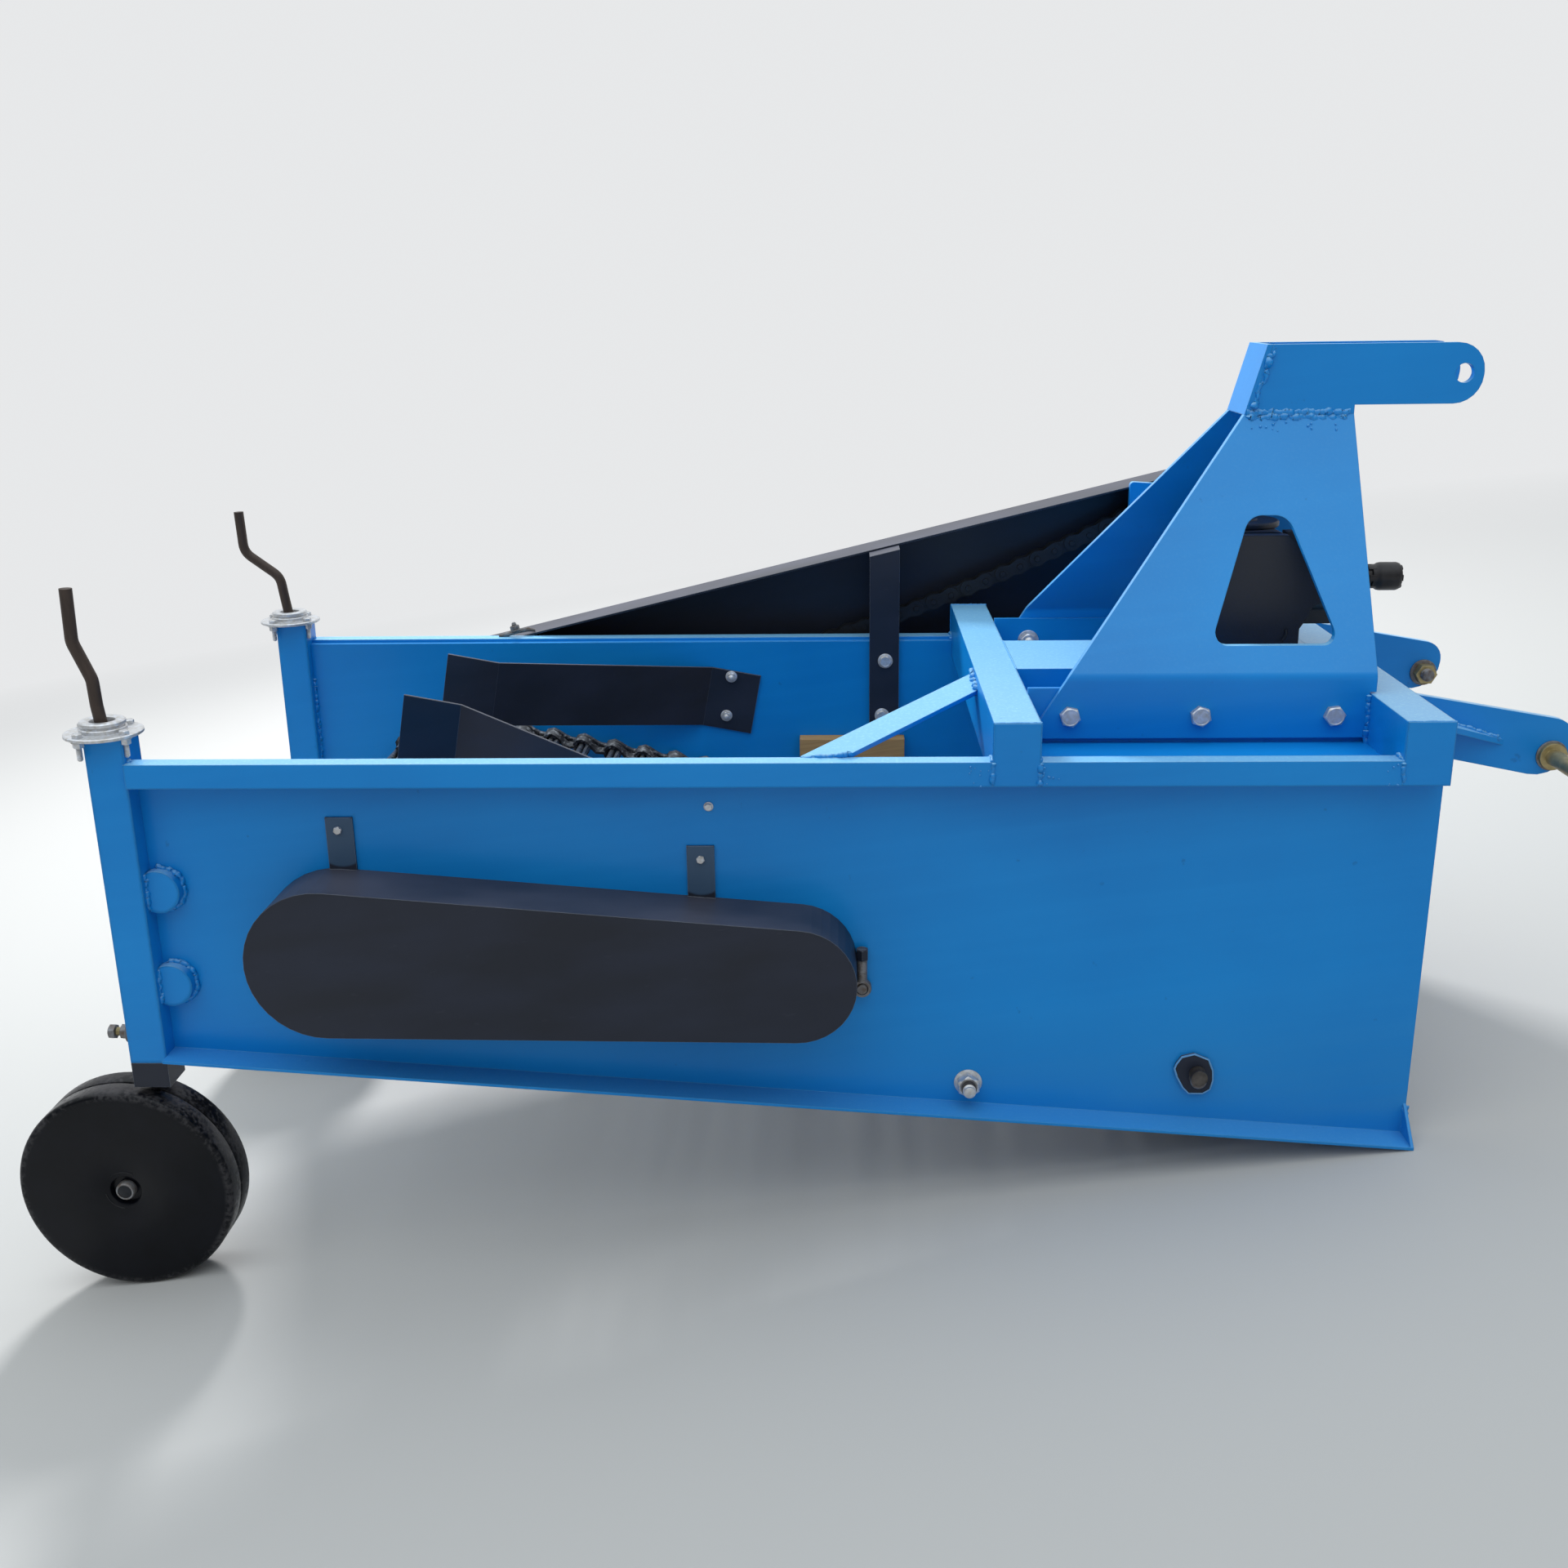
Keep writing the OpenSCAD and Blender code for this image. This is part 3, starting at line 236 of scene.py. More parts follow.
# Frame: square tube rails on the walls, two heavy cross tubes, a brace and rear posts.
# All are sawn to length, closed with flat ends and welded, then painted with the walls.
rail_top = 0.765
rail_foot = 0.733
rail_in = 0.366
tube_top = 0.815
mid_tube_x = 1.184
front_tube_x = 1.691
tube_w = 0.059
post_rear = 0.030
post_front = 0.080
post_out = 0.387
post_top = 0.798
disc_heights = (0.585, 0.451)
disc_x = 0.094
disc_r = 0.029
disc_out = 0.376

tube_paint = azure_paint("azure paint on tube", 0.0040)
post_paint = azure_paint("azure paint on posts", 0.0080)
weld_paint = azure_paint("azure paint on welds", 0.0008, 0.50)
coat(tube_paint, "rail_left", "rail_right", "cross_tube_mid", "cross_tube_front")
coat(post_paint, "post_left", "post_right")
coat(blue_paint, "brace")


def skinned(rings, ends=True, loop=False):
    """Points and faces over equal rings of points, taken in turn."""
    count = len(rings[0])
    points = [tuple(p) for ring in rings for p in ring]
    faces = []
    for i in range(len(rings) if loop else len(rings) - 1):
        a = i * count
        b = (i + 1) % len(rings) * count
        faces += [(a + k, a + (k + 1) % count, b + (k + 1) % count, b + k) for k in range(count)]
    if ends and not loop:
        faces.append(tuple(range(count))[::-1])
        faces.append(tuple(range(len(points) - count, len(points))))
    return points, faces


def swept(path, radii, sides=8):
    """A round bar along a path of points, with a radius at each of them."""
    path = [Vector(p) for p in path]
    rings = []
    side = None
    for i, point in enumerate(path):
        before = path[max(i - 1, 0)]
        after = path[min(i + 1, len(path) - 1)]
        heading = (after - before).normalized()
        if side is None:
            side = heading.orthogonal().normalized()
        side = (side - heading * side.dot(heading)).normalized()
        across = heading.cross(side)
        turns = [2 * math.pi * k / sides for k in range(sides)]
        rings.append([point + (side * math.cos(t) + across * math.sin(t)) * radii[i] for t in turns])
    return skinned(rings)


def forged(name, parts, finish, smooth_below=38):
    """One piece from parts drawn in the machine's axes, shaded smooth below an angle."""
    points = []
    faces = []
    for part_points, part_faces in parts:
        faces += [[i + len(points) for i in face] for face in part_faces]
        points += part_points
    mesh = bpy.data.meshes.new(name)
    mesh.from_pydata(points, [], faces)
    mesh.transform(stand)
    mesh.polygons.foreach_set("use_smooth", [True] * len(mesh.polygons))
    mesh.set_sharp_from_angle(angle=math.radians(smooth_below))
    mesh.materials.append(finish.material)
    piece = bpy.data.objects.new(name, mesh)
    scene.collection.objects.link(piece)
    return piece


def bead(ends, width=0.008, rough=0.12):
    """A hand-laid weld bead along straight runs between points, rippled and lumpy."""
    step = 0.0011
    path = []
    for a, b in zip(ends, ends[1:]):
        a = Vector(a)
        b = Vector(b)
        count = max(2, round((b - a).length / step))
        path += [a.lerp(b, i / count) for i in range(count)]
    path.append(Vector(ends[-1]))
    radii = []
    lump = 0
    stray = Vector()
    for i in range(len(path)):
        if i % 4 == 0:
            lump = random.uniform(-rough, rough)
            stray = Vector([random.uniform(-1, 1) for axis in range(3)]) * width * rough * 0.7
        radii.append(width / 2 * (0.88 + 0.12 * (i % 4) / 3 + lump))
        path[i] = path[i] + stray
    radii[0] = radii[-1] = width * 0.18
    return swept(path, radii, 7)


def spatter(count, corner, reach, size=0.0016):
    """Small balls of weld metal strewn over a flat patch from a corner over its two sides."""
    balls = []
    for i in range(count):
        ball = Vector(corner)
        for side in reach:
            ball += Vector(side) * random.random()
        r = size * random.uniform(0.5, 1.0)
        rings = [(r * 0.5, -r * 0.8), (r, 0), (r * 0.7, r * 0.7), (r * 0.05, r)]
        ring_points = [[(ball.x + q * math.cos(t), ball.y + q * math.sin(t), ball.z + h)
                        for t in [math.pi * k / 3 for k in range(6)]] for q, h in rings]
        balls.append(skinned(ring_points))
    return balls


def both_sides(ends):
    """The same run of points on the left and on the right of the machine."""
    return [ends, [(x, -y, z) for x, y, z in ends]]


def arc(x, y, z, radius, start, stop, steps=12):
    """Points of an arc in an upright plane, angles in degrees from forward over the top."""
    angles = [math.radians(start + (stop - start) * i / steps) for i in range(steps + 1)]
    return [(x + radius * math.cos(a), y, z + radius * math.sin(a)) for a in angles]


frame_runs = []
for x in (mid_tube_x, mid_tube_x + tube_w, front_tube_x):
    frame_runs += both_sides([(x, half_w - 0.001, rail_foot + 0.003), (x, half_w - 0.001, rail_top)])
    frame_runs += both_sides([(x, half_w - 0.002, rail_top), (x, rail_in + 0.003, rail_top)])
    frame_runs += both_sides([(x, rail_in - 0.001, rail_foot + 0.004), (x, rail_in - 0.001, rail_top)])
frame_runs += both_sides([(post_front, wall_in - 0.001, 0.420), (post_front, wall_in - 0.001, 0.700)])
frame_runs += both_sides([(post_front, post_out - 0.004, rail_top), (post_front, rail_in + 0.004, rail_top)])
for height in disc_heights:
    frame_runs += both_sides(arc(disc_x, wall_out + 0.002, height, disc_r + 0.001, -100, 100, 20))
    frame_runs += both_sides([(post_front, disc_out, height - 0.025), (post_front, disc_out, height + 0.025)])
bed_half = 0.095
brace_head_runs = [[(mid_tube_x, -0.069, 0.804), (mid_tube_x, -0.150, 0.798)],
                   [(mid_tube_x, -0.071, 0.798), (mid_tube_x, -0.150, 0.791)]]
brace_foot_run = [(0.942, -rail_in + 0.001, 0.762), (1.008, -rail_in + 0.001, 0.768)]
wall_nose_run = [(1.755, wall_out, 0.234), (1.755, wall_out, 0.270)]
frame_runs += [brace_foot_run] + both_sides(wall_nose_run)
frame_parts = [bead(run, 0.0075, 0.28) for run in frame_runs]
frame_parts += [bead(run, 0.011, 0.30) for run in brace_head_runs]
strewn = ((mid_tube_x - 0.030, 0.028), (mid_tube_x + tube_w, 0.030), (front_tube_x - 0.032, 0.030))
for side in (-1, 1):
    for x, reach in strewn:
        corner = (x, side * (half_w + 0.0002), rail_foot)
        frame_parts += spatter(9, corner, ((reach, 0, 0), (0, 0, 0.03)))
frame_welds = forged("frame_welds", frame_parts, weld_paint, 60)
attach(frame_welds, "frame")

cap_runs = [[(mid_tube_x + tube_w, -bed_half, tube_top), (mid_tube_x + tube_w, bed_half, tube_top)]]
for tube_x in (mid_tube_x, front_tube_x):
    for side in (-1, 1):
        y = side * (half_w - 0.0035)
        cap_runs.append([(tube_x, y, rail_foot), (tube_x, y, tube_top), (tube_x + tube_w, y, tube_top)])
        cap_runs[-1].append((tube_x + tube_w, y, rail_foot))
cap_seams = forged("cap_seams", [bead(run, 0.0025) for run in cap_runs], blue_paint, 60)
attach(cap_seams, "frame")

# Mast: two 10 mm plates, bent inward above the frame, with a window each, bolted to
# angle bars between the cross tubes. Lugs for the top link are welded on their heads.
mast_out = 0.248
mast_rail_in = 0.232
mast_lean = 0.615
mast_bend = 0.838
mast_head = 1.160
lug_out = mast_out - mast_lean * (mast_head - mast_bend)
lug_top = 1.253
head_rear = 1.551
head_front = 1.692
bolt_places = ((1.298, 0.786), (1.470, 0.786), (1.645, 0.786))

# The angle bars are a shaded copy of the paint, with no painted light on top, for their ledge in shade under
# the mast plates.
bar_paint = azure_paint("azure paint on angle bars", 0.0018, glare=0.0)
coat(blue_paint, "mast_plate_left", "mast_plate_right", "mast_cap", "top_link_lugs")
coat(bar_paint, "mast_rails")

lug_runs = []
for short_behind, short_ahead, sunk, rise in ((0, 0, 0.003, 0.002), (0.001, 0.002, 0.0015, -0.005)):
    ends = (head_rear + short_behind, head_front - short_ahead)
    lug_runs += both_sides([(x, lug_out - sunk, mast_head + rise) for x in ends])
cap_foot_run = [(head_rear + 0.0005, y, mast_head) for y in (-lug_out, lug_out)]
dotted_runs = both_sides([(1.560, lug_out, mast_head + 0.010), (1.583, lug_out, lug_top - 0.006)])
tube_runs = both_sides([(front_tube_x - 0.001, mast_out, z) for z in (0.744, tube_top - 0.002)])
mast_parts = [bead(run, 0.0125, 0.20) for run in lug_runs] + [bead(run, 0.009, 0.18) for run in tube_runs]
mast_parts += [bead(run, 0.0080, 0.55) for run in dotted_runs] + [bead(cap_foot_run, 0.003)]
for side in (-1, 1):
    below = (1.556, side * (lug_out + 0.014), mast_head - 0.022)
    mast_parts += spatter(16, below, ((0.120, 0, 0), (0, -side * 0.008, 0.013)), 0.0020)
mast_welds = forged("mast_welds", mast_parts, weld_paint, 60)
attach(mast_welds, "frame")


def turned(profile, sides=32, across=None, loop=False):
    """A lathe shape round z from places (radius, z). across cuts it to a hexagon, loop
    joins the last place to the first, as a ring needs."""
    rings = []
    for radius, z in profile:
        ring = []
        for k in range(sides):
            turn = 2 * math.pi * k / sides
            reach = radius
            if across:
                reach = min(radius, across / 2 / math.cos((turn + math.pi / 6) % (math.pi / 3) - math.pi / 6))
            ring.append((reach * math.cos(turn), reach * math.sin(turn), z))
        rings.append(ring)
    return skinned(rings, loop=loop)


def moved(part, at, axis=(0, 0, 1), turn=0.0):
    """A part drawn round z, set down at a place with its z along an axis."""
    points, faces = part
    aim = Vector(axis).to_track_quat("Z", "Y").to_matrix().to_4x4()
    place = Matrix.Translation(Vector(at)) @ aim @ Matrix.Rotation(turn, 4, "Z")
    return [tuple(place @ Vector(p)) for p in points], faces


def hexagon(across, foot, height):
    """A hexagon of nut or bolt head, chamfered at its top."""
    corner = across / math.sqrt(3)
    fall = (corner - across / 2 * 0.93) * math.tan(math.radians(30))
    top = foot + height
    profile = [(corner * 0.96, foot), (corner, foot + 0.0004), (corner, top - fall), (across * 0.465, top)]
    profile += [(across * 0.42, top), (across * 0.40, top - 0.0004), (0.0005, top - 0.0004)]
    return turned(profile, 36, across)


def thread(radius, foot, length):
    """The threaded end of a bolt or stud."""
    pitch = 0.0018
    profile = [(radius, foot)]
    for k in range(int(length / pitch) - 1):
        z = foot + pitch * (k + 0.5)
        profile += [(radius, z), (radius - 0.0009, z + pitch / 2)]
    return turned(profile + [(radius - 0.001, foot + length - 0.001), (radius - 0.0025, foot + length)], 20)


def washer(radius, foot, thick):
    return turned([(radius - 0.0004, foot), (radius, foot + 0.0005), (radius, foot + thick - 0.0005),
                   (radius - 0.0008, foot + thick), (radius * 0.5, foot + thick)], 32)


def bolt(size, at, axis, stud=0.0, wash=0.0018):
    """Parts of a bolt of a thread size: washer and head or, with a stud, washer, nut and
    the end of the thread. A wash of 0 leaves the washer out."""
    parts = [washer(size * 1.05, 0, wash)] if wash else []
    if stud:
        parts += [hexagon(size * 1.55, wash, size * 0.82), thread(size / 2, wash + size * 0.8, stud)]
    else:
        parts.append(hexagon(size * 1.52, wash, size * 0.63))
    turn = random.uniform(0, math.pi / 3)
    return [moved(part, at, axis, turn) for part in parts]


zinc = Finish("zinc plate", Metallic=0.70)
bloom = zinc.noise(0.006, 3.0)
plated = zinc.mix(zinc.ramp(bloom, 0.3, 0.75), srgb(216, 220, 228), srgb(190, 187, 182))
zinc.show(plated, 0.34 + bloom * 0.22)
zinc.relief(bloom, 0.0002, 0.3)

dull_steel = Finish("dull steel", Metallic=0.55)
stain = dull_steel.noise(0.007, 4.0)
stains_and_lit_edges = dull_steel.mix(dull_steel.ramp(stain, 0.35, 0.7), srgb(128, 130, 134), srgb(100, 86, 76))
# Edges are painted pale: partly rubbed bare, partly a painted highlight.
rubbed_and_lit_edges = dull_steel.painted_edge_highlight(dull_steel.edge_round(0.0008)) * 0.7
stains_and_lit_edges = dull_steel.mix(rubbed_and_lit_edges, stains_and_lit_edges, srgb(190, 192, 194))
dull_steel.show(stains_and_lit_edges, 0.40 + stain * 0.25)
dull_steel.relief(stain, 0.0003, 0.4)

mast_heads = []
mast_nuts = []
for x, z in bolt_places:
    for side in (-1, 1):
        mast_heads += bolt(0.016, (x, side * mast_out, z), (0, side, 0), wash=0)
        mast_nuts += bolt(0.016, (x, side * mast_rail_in, z), (0, -side, 0), 0.010, 0.003)
for name, parts in (("mast_bolts", mast_heads), ("mast_nuts", mast_nuts)):
    mast_bolts = forged(name, parts, zinc, 25)
    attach(mast_bolts, "frame")

# Hitch: two plates welded to the front tube, each stiffened by a rib, with a yellow
# passivated pin bolted through. The tractor's lower links go on the pins.
hitch_out = 0.246
hitch_plate_t = 0.012
pin_x = 1.936
pin_z = 0.729

coat(blue_paint, "hitch_plate_left", "hitch_plate_right")

hitch_runs = both_sides([(1.750, hitch_out, 0.737), (1.750, hitch_out, 0.811)])
hitch_runs += both_sides([(1.751, hitch_out + 0.004, 0.791), (1.751, hitch_out + 0.046, 0.791)])
hitch_runs += both_sides([(1.756, hitch_out + 0.001, 0.790), (1.866, hitch_out + 0.001, 0.752)])
hitch_welds = forged("hitch_welds", [bead(run, 0.008, 0.22) for run in hitch_runs], weld_paint, 60)
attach(hitch_welds, "frame")

yellow_zinc = Finish("yellow zinc plate", Metallic=0.8)
sheen = yellow_zinc.noise(0.010, 3.0)
brass = yellow_zinc.mix(yellow_zinc.ramp(sheen, 0.3, 0.7), srgb(150, 136, 96), srgb(186, 170, 128))
yellow_zinc.show(brass, 0.34 + sheen * 0.2)
yellow_zinc.relief(sheen, 0.0002, 0.3, yellow_zinc.edge_round(0.0015))
coat(yellow_zinc, "hitch_pin_left", "hitch_pin_right")

pin_trim = []
for side in (-1, 1):
    plate_in = (pin_x, side * (hitch_out - hitch_plate_t), pin_z)
    pin_trim.append(moved(washer(0.021, 0, 0.003), plate_in, (0, -side, 0)))
    pin_trim.append(moved(thread(0.0102, 0.018, 0.010), plate_in, (0, -side, 0)))
    pin_trim.append(moved(washer(0.0205, 0, 0.003), (pin_x, side * hitch_out, pin_z), (0, side, 0)))
hitch_washers = forged("hitch_washers", pin_trim, dull_steel)
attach(hitch_washers, "frame")

# Gearbox: a black painted iron casting on a folded bed between the cross tubes, with foot
# bolts, a bolted boss on its left, a lid with a filler plug and a splined input shaft.
drive_z = 0.927
cross_x = 1.565
box_front = 1.630
box_rear = 1.480
box_top = 1.003

coat(blue_paint, "gearbox_bed")

cast_black = Finish("black painted casting", Coat_Weight=0.15, Coat_Roughness=0.3)
sand = cast_black.noise(0.0035, 3.0)
cast_black.show(cast_black.mix(sand * 0.6, srgb(15, 20, 30), srgb(36, 42, 56)), 0.42 + sand * 0.2)
cast_black.relief(sand, 0.0008, 0.6, cast_black.edge_round(0.004))
coat(cast_black, "gearbox")


def bolt_circle(count, radius, start):
    """Places of bolts evenly round a circle, as pairs, from a start angle in degrees."""
    turns = [math.radians(360 / count * k + start) for k in range(count)]
    return [(radius * math.cos(t), radius * math.sin(t)) for t in turns]


gearbox_trim = []
for x in (box_rear - 0.004, box_front + 0.004):
    for y in (-0.082, 0.082):
        gearbox_trim += bolt(0.012, (x, y, tube_top + 0.012), (0, 0, 1), 0.008)
for up, ahead in bolt_circle(4, 0.040, 45):
    gearbox_trim += bolt(0.006, (cross_x + ahead, 0.103, drive_z + up), (0, 1, 0))
gearbox_bolts = forged("gearbox_bolts", gearbox_trim, cast_black)
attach(gearbox_bolts, "frame")
lid = [(0.058, 0), (0.060, 0.002), (0.060, 0.007), (0.058, 0.009), (0.030, 0.009), (0.029, 0.011)]
lid.append((0.001, 0.011))
plug = [(0.013, 0), (0.013, 0.004), (0.001, 0.004)]
cap_parts = []
for part, rise in ((turned(lid), -0.001), (turned(plug), 0.009), (hexagon(0.019, 0.003, 0.012), 0.010)):
    cap_parts.append(moved(part, (1.560, 0, box_top + rise)))
gearbox_cap = forged("gearbox_cap", cap_parts, cast_black)
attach(gearbox_cap, "frame")

side_face = [(1.486, 0.838), (1.630, 0.838), (1.630, 0.874), (1.640, 0.889), (1.646, 0.904), (1.660, 0.912)]
side_face += [(1.660, 0.940), (1.618, 0.994), (1.606, 1.0035), (1.500, 1.0035), (1.486, 0.990)]
face_rings = [[(x, y, z) for x, z in side_face] for y in (-0.113, -0.094)]
cast_lines = [swept(arc(1.598, -0.113, 0.868, 0.014, -50, 20), [0.0018] * 13, 6)]
gearbox_face = forged("gearbox_side_face", [skinned(face_rings)] + cast_lines, cast_black)
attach(gearbox_face, "frame")

dark_steel = Finish("oiled steel", Metallic=0.6)
oil = dark_steel.noise(0.012, 4.0)
steel_tone = dark_steel.mix(dark_steel.ramp(oil, 0.3, 0.7), srgb(58, 55, 56), srgb(104, 98, 92))
dark_steel.show(steel_tone, 0.34 + oil * 0.25)
dark_steel.relief(oil, 0.0004, 0.4, dark_steel.edge_round(0.0012))
stub_black = Finish("blackened shaft", Metallic=0.4)
stub_film = stub_black.noise(0.010, 3.0)
stub_black.show(stub_black.mix(stub_film, srgb(26, 25, 28), srgb(52, 50, 52)), 0.30 + stub_film * 0.2)
stub_black.relief(stub_film, 0.0003, 0.3, stub_black.edge_round(0.0015))
coat(stub_black, "input_shaft")
sleeve = [(0.0160, 0), (0.0172, 0.001), (0.0172, 0.006), (0.0196, 0.010), (0.0203, 0.014), (0.0203, 0.036)]
sleeve += [(0.0200, 0.0375), (0.0188, 0.0405), (0.0165, 0.0422), (0.0005, 0.0426)]
stub_cap = forged("stub_cap", [moved(turned(sleeve, 48), (1.757, 0, drive_z), (1, 0, 0))], stub_black)
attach(stub_cap, "input_shaft")

# Cross drive: a shaft in a housing tube runs from the gearbox over the left mast plate
# to a stand on the left rail, and carries the small sprocket outside it.
coat(blue_paint, "bearing_stand")
coat(cast_black, "cross_shaft")

stand_trim = []
for up, ahead in bolt_circle(4, 0.052, 45):
    stand_trim += bolt(0.010, (cross_x + ahead, half_w - 0.012, drive_z + up), (0, -1, 0), 0.006)
stand_bolts = forged("stand_bolts", stand_trim, zinc)
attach(stand_bolts, "frame")
stand_run = [(1.480, 0.381, rail_top), (1.650, 0.381, rail_top)]
stand_welds = forged("stand_welds", [bead(stand_run, 0.008)], blue_paint, 60)
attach(stand_welds, "frame")

# Side chain: a 20A roller chain of pressed plates, rollers and pins round the small
# sprocket and the head shaft's; its upper run hangs slack.
chain_pitch = 0.03175
chain_y = 0.430
chain_sag = 0.062
head_x = 0.328
head_z = 0.512


def lead(a, b):
    """Heading of the straight run that leaves wheel a for wheel b, in radians."""
    span = Vector((b[0] - a[0], b[1] - a[1]))
    return math.atan2(span.y, span.x) - math.asin((a[2] - b[2]) / span.length)


def over(heading):
    return Vector((-math.sin(heading), math.cos(heading)))


def belt(wheels, step):
    """A clockwise loop round wheels (x, z, radius); a radius below 0 is outside it."""
    path = []
    for i, wheel in enumerate(wheels):
        into = lead(wheels[i - 1], wheel)
        out = lead(wheel, wheels[(i + 1) % len(wheels)])
        sweep = -((into - out) % (2 * math.pi)) if wheel[2] > 0 else (out - into) % (2 * math.pi)
        parts = max(1, math.ceil(abs(sweep) / math.radians(step)))
        path += [Vector(wheel[:2]) + wheel[2] * over(into + sweep * k / parts) for k in range(parts + 1)]
    return path


def loop_length(path):
    return sum((b - a).length for a, b in zip(path, path[1:] + path[:1]))


def along(path, distance):
    """Place on the loop at a distance, and the heading there."""
    for a, b in zip(path, path[1:] + path[:1]):
        if distance <= (b - a).length:
            return a.lerp(b, distance / (b - a).length), math.atan2((b - a).y, (b - a).x)
        distance -= (b - a).length
    return path[0], 0.0


drive_r = chain_pitch / 2 / math.sin(math.pi / 13)
driven_r = chain_pitch / 2 / math.sin(math.pi / 18)
tight = belt([(head_x, head_z, driven_r), (cross_x, drive_z, drive_r)], 6)
rear_count = max(i for i, p in enumerate(tight) if p.x < 0.5 and p.y > head_z)
slack_start = tight[rear_count]
slack_end = tight[rear_count + 1]
slack = []
for k in range(1, 24):
    sag = 4 * chain_sag * k / 24 * (1 - k / 24)
    slack.append(slack_start.lerp(slack_end, k / 24) - Vector((0, sag)))
chain_path = tight[:rear_count + 1] + slack + tight[rear_count + 1:]
link_count = 2 * round(loop_length(chain_path) / chain_pitch / 2)
link_l = loop_length(chain_path) / link_count
plate_h = 0.0135
waist_h = 0.0095
chain_pin = [(0.0045, 0), (0.0048, 0.0008), (0.0048, 0.033), (0.0038, 0.034)]
chain_roller = [(0.0092, 0), (0.0096, 0.0006), (0.0096, 0.0126), (0.0092, 0.0132)]
chain_parts = []
link_pins = [along(chain_path, i * link_l)[0] for i in range(link_count)]


def chain_plate(a, b, y, thick, grow):
    """A waisted side plate between pins a and b, from y to y + thick."""
    heading = math.atan2((b - a).y, (b - a).x)
    ahead = Vector((math.cos(heading), math.sin(heading)))
    ring = []
    for centre, start in ((a, 90), (b, -90)):
        for k in range(7):
            turn = heading + math.radians(start + 30 * k)
            ring.append(centre + Vector((math.cos(turn), math.sin(turn))) * plate_h * grow)
        ring.append((a + b) / 2 + over(heading) * waist_h * grow * (-1 if start == 90 else 1))
    faces_at = [[(p.x, y + d, p.y) for p in ring] for d in (thick, 0)]
    return skinned(faces_at)


for i, pin in enumerate(link_pins):
    after = link_pins[(i + 1) % link_count]
    gap, grow = (0.0105, 1.0) if i % 2 else (0.0068, 1.08)
    chain_parts.append(chain_plate(pin, after, chain_y + gap, 0.003, grow))
    chain_parts.append(chain_plate(pin, after, chain_y - gap - 0.003, 0.003, grow))
    for profile, sides, back in ((chain_pin, 10, 0.0165), (chain_roller, 12, 0.0066)):
        chain_parts.append(moved(turned(profile, sides), (pin.x, chain_y - back, pin.y), (0, 1, 0)))
chain_black = Finish("oiled chain", Metallic=0.35)
chain_oil = chain_black.noise(0.008, 4.0)
chain_black.show(chain_black.mix(chain_oil, srgb(13, 15, 20), srgb(34, 38, 46)), 0.38 + chain_oil * 0.25)
chain_black.relief(chain_oil, 0.0003, 0.4)
side_chain = forged("side_chain_links", chain_parts, chain_black)
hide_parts("side_chain")
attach(side_chain, "frame")

# Chain guard: a long tray of 3 mm sheet over the side chain, sprayed black, screwed to
# the left rail by a clip and hung on a hooked flat bar inside the wall.
black_paint = Finish("black gloss paint", Coat_Weight=0.12, Coat_Roughness=0.2, Specular_IOR_Level=0.35)
dust = black_paint.noise(0.09, 5.0, (0.5, 1, 1.4))
scuffs = black_paint.noise(0.008, 4.0, (0.35, 1, 1))
pitch_black = black_paint.mix(black_paint.ramp(dust, 0.35, 0.75), srgb(21, 27, 41), srgb(32, 39, 57))
dusted = black_paint.upward() * (0.15 + black_paint.ramp(dust, 0.3, 0.7) * 0.25)
pitch_black = black_paint.mix(dusted, pitch_black, srgb(112, 112, 124))
pitch_black = black_paint.mix(black_paint.ramp(scuffs, 0.68, 0.78) * 0.25, pitch_black, srgb(56, 62, 76))
for tab_x, tab_z in ((0.340, 0.652), (0.811, 0.612)):
    on_tab = black_paint.near((tab_x, -0.360, tab_z), 0.034, 0.037)
    pitch_black = black_paint.mix(on_tab, pitch_black, srgb(56, 82, 110))
# Painted highlight: sharp edges of the black paint are painted pale grey.
edge_gleam = black_paint.painted_edge_highlight(black_paint.edge_round(0.0012)) * 0.7
pitch_black = black_paint.mix(edge_gleam, pitch_black, srgb(160, 170, 186))
black_paint.show(pitch_black, 0.38 + dust * 0.22)
waves = black_paint.noise(0.05, 2.0) * 1.5 + scuffs * 0.3
black_paint.relief(waves, 0.0005, 0.35, black_paint.edge_round(0.0022))
coat(black_paint, "chain_guard", "guard_bracket")

guard_trim = []
for x, z in ((1.0707, 0.727), (1.0657, 0.631)):
    guard_trim += bolt(0.012, (x, 0.346, z), (0, -1, 0))
guard_bolts = forged("guard_bolts", guard_trim, zinc)
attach(guard_bolts, "frame")
clip_line = [(0.402, 0.384, 0.7665), (0.418, 0.386, 0.7690), (0.432, 0.392, 0.7730), (0.450, 0.400, 0.7745)]
clip_line.append((0.462, 0.404, 0.7720))
clip_parts = [swept(clip_line, [0.0025, 0.0040, 0.0045, 0.0040, 0.0025], 8)]
clip_parts += bolt(0.009, (0.430, 0.392, 0.7740), (-0.2, 0, 1), 0.006)
guard_clip = forged("guard_clip_screw", clip_parts, dull_steel)
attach(guard_clip, "frame")

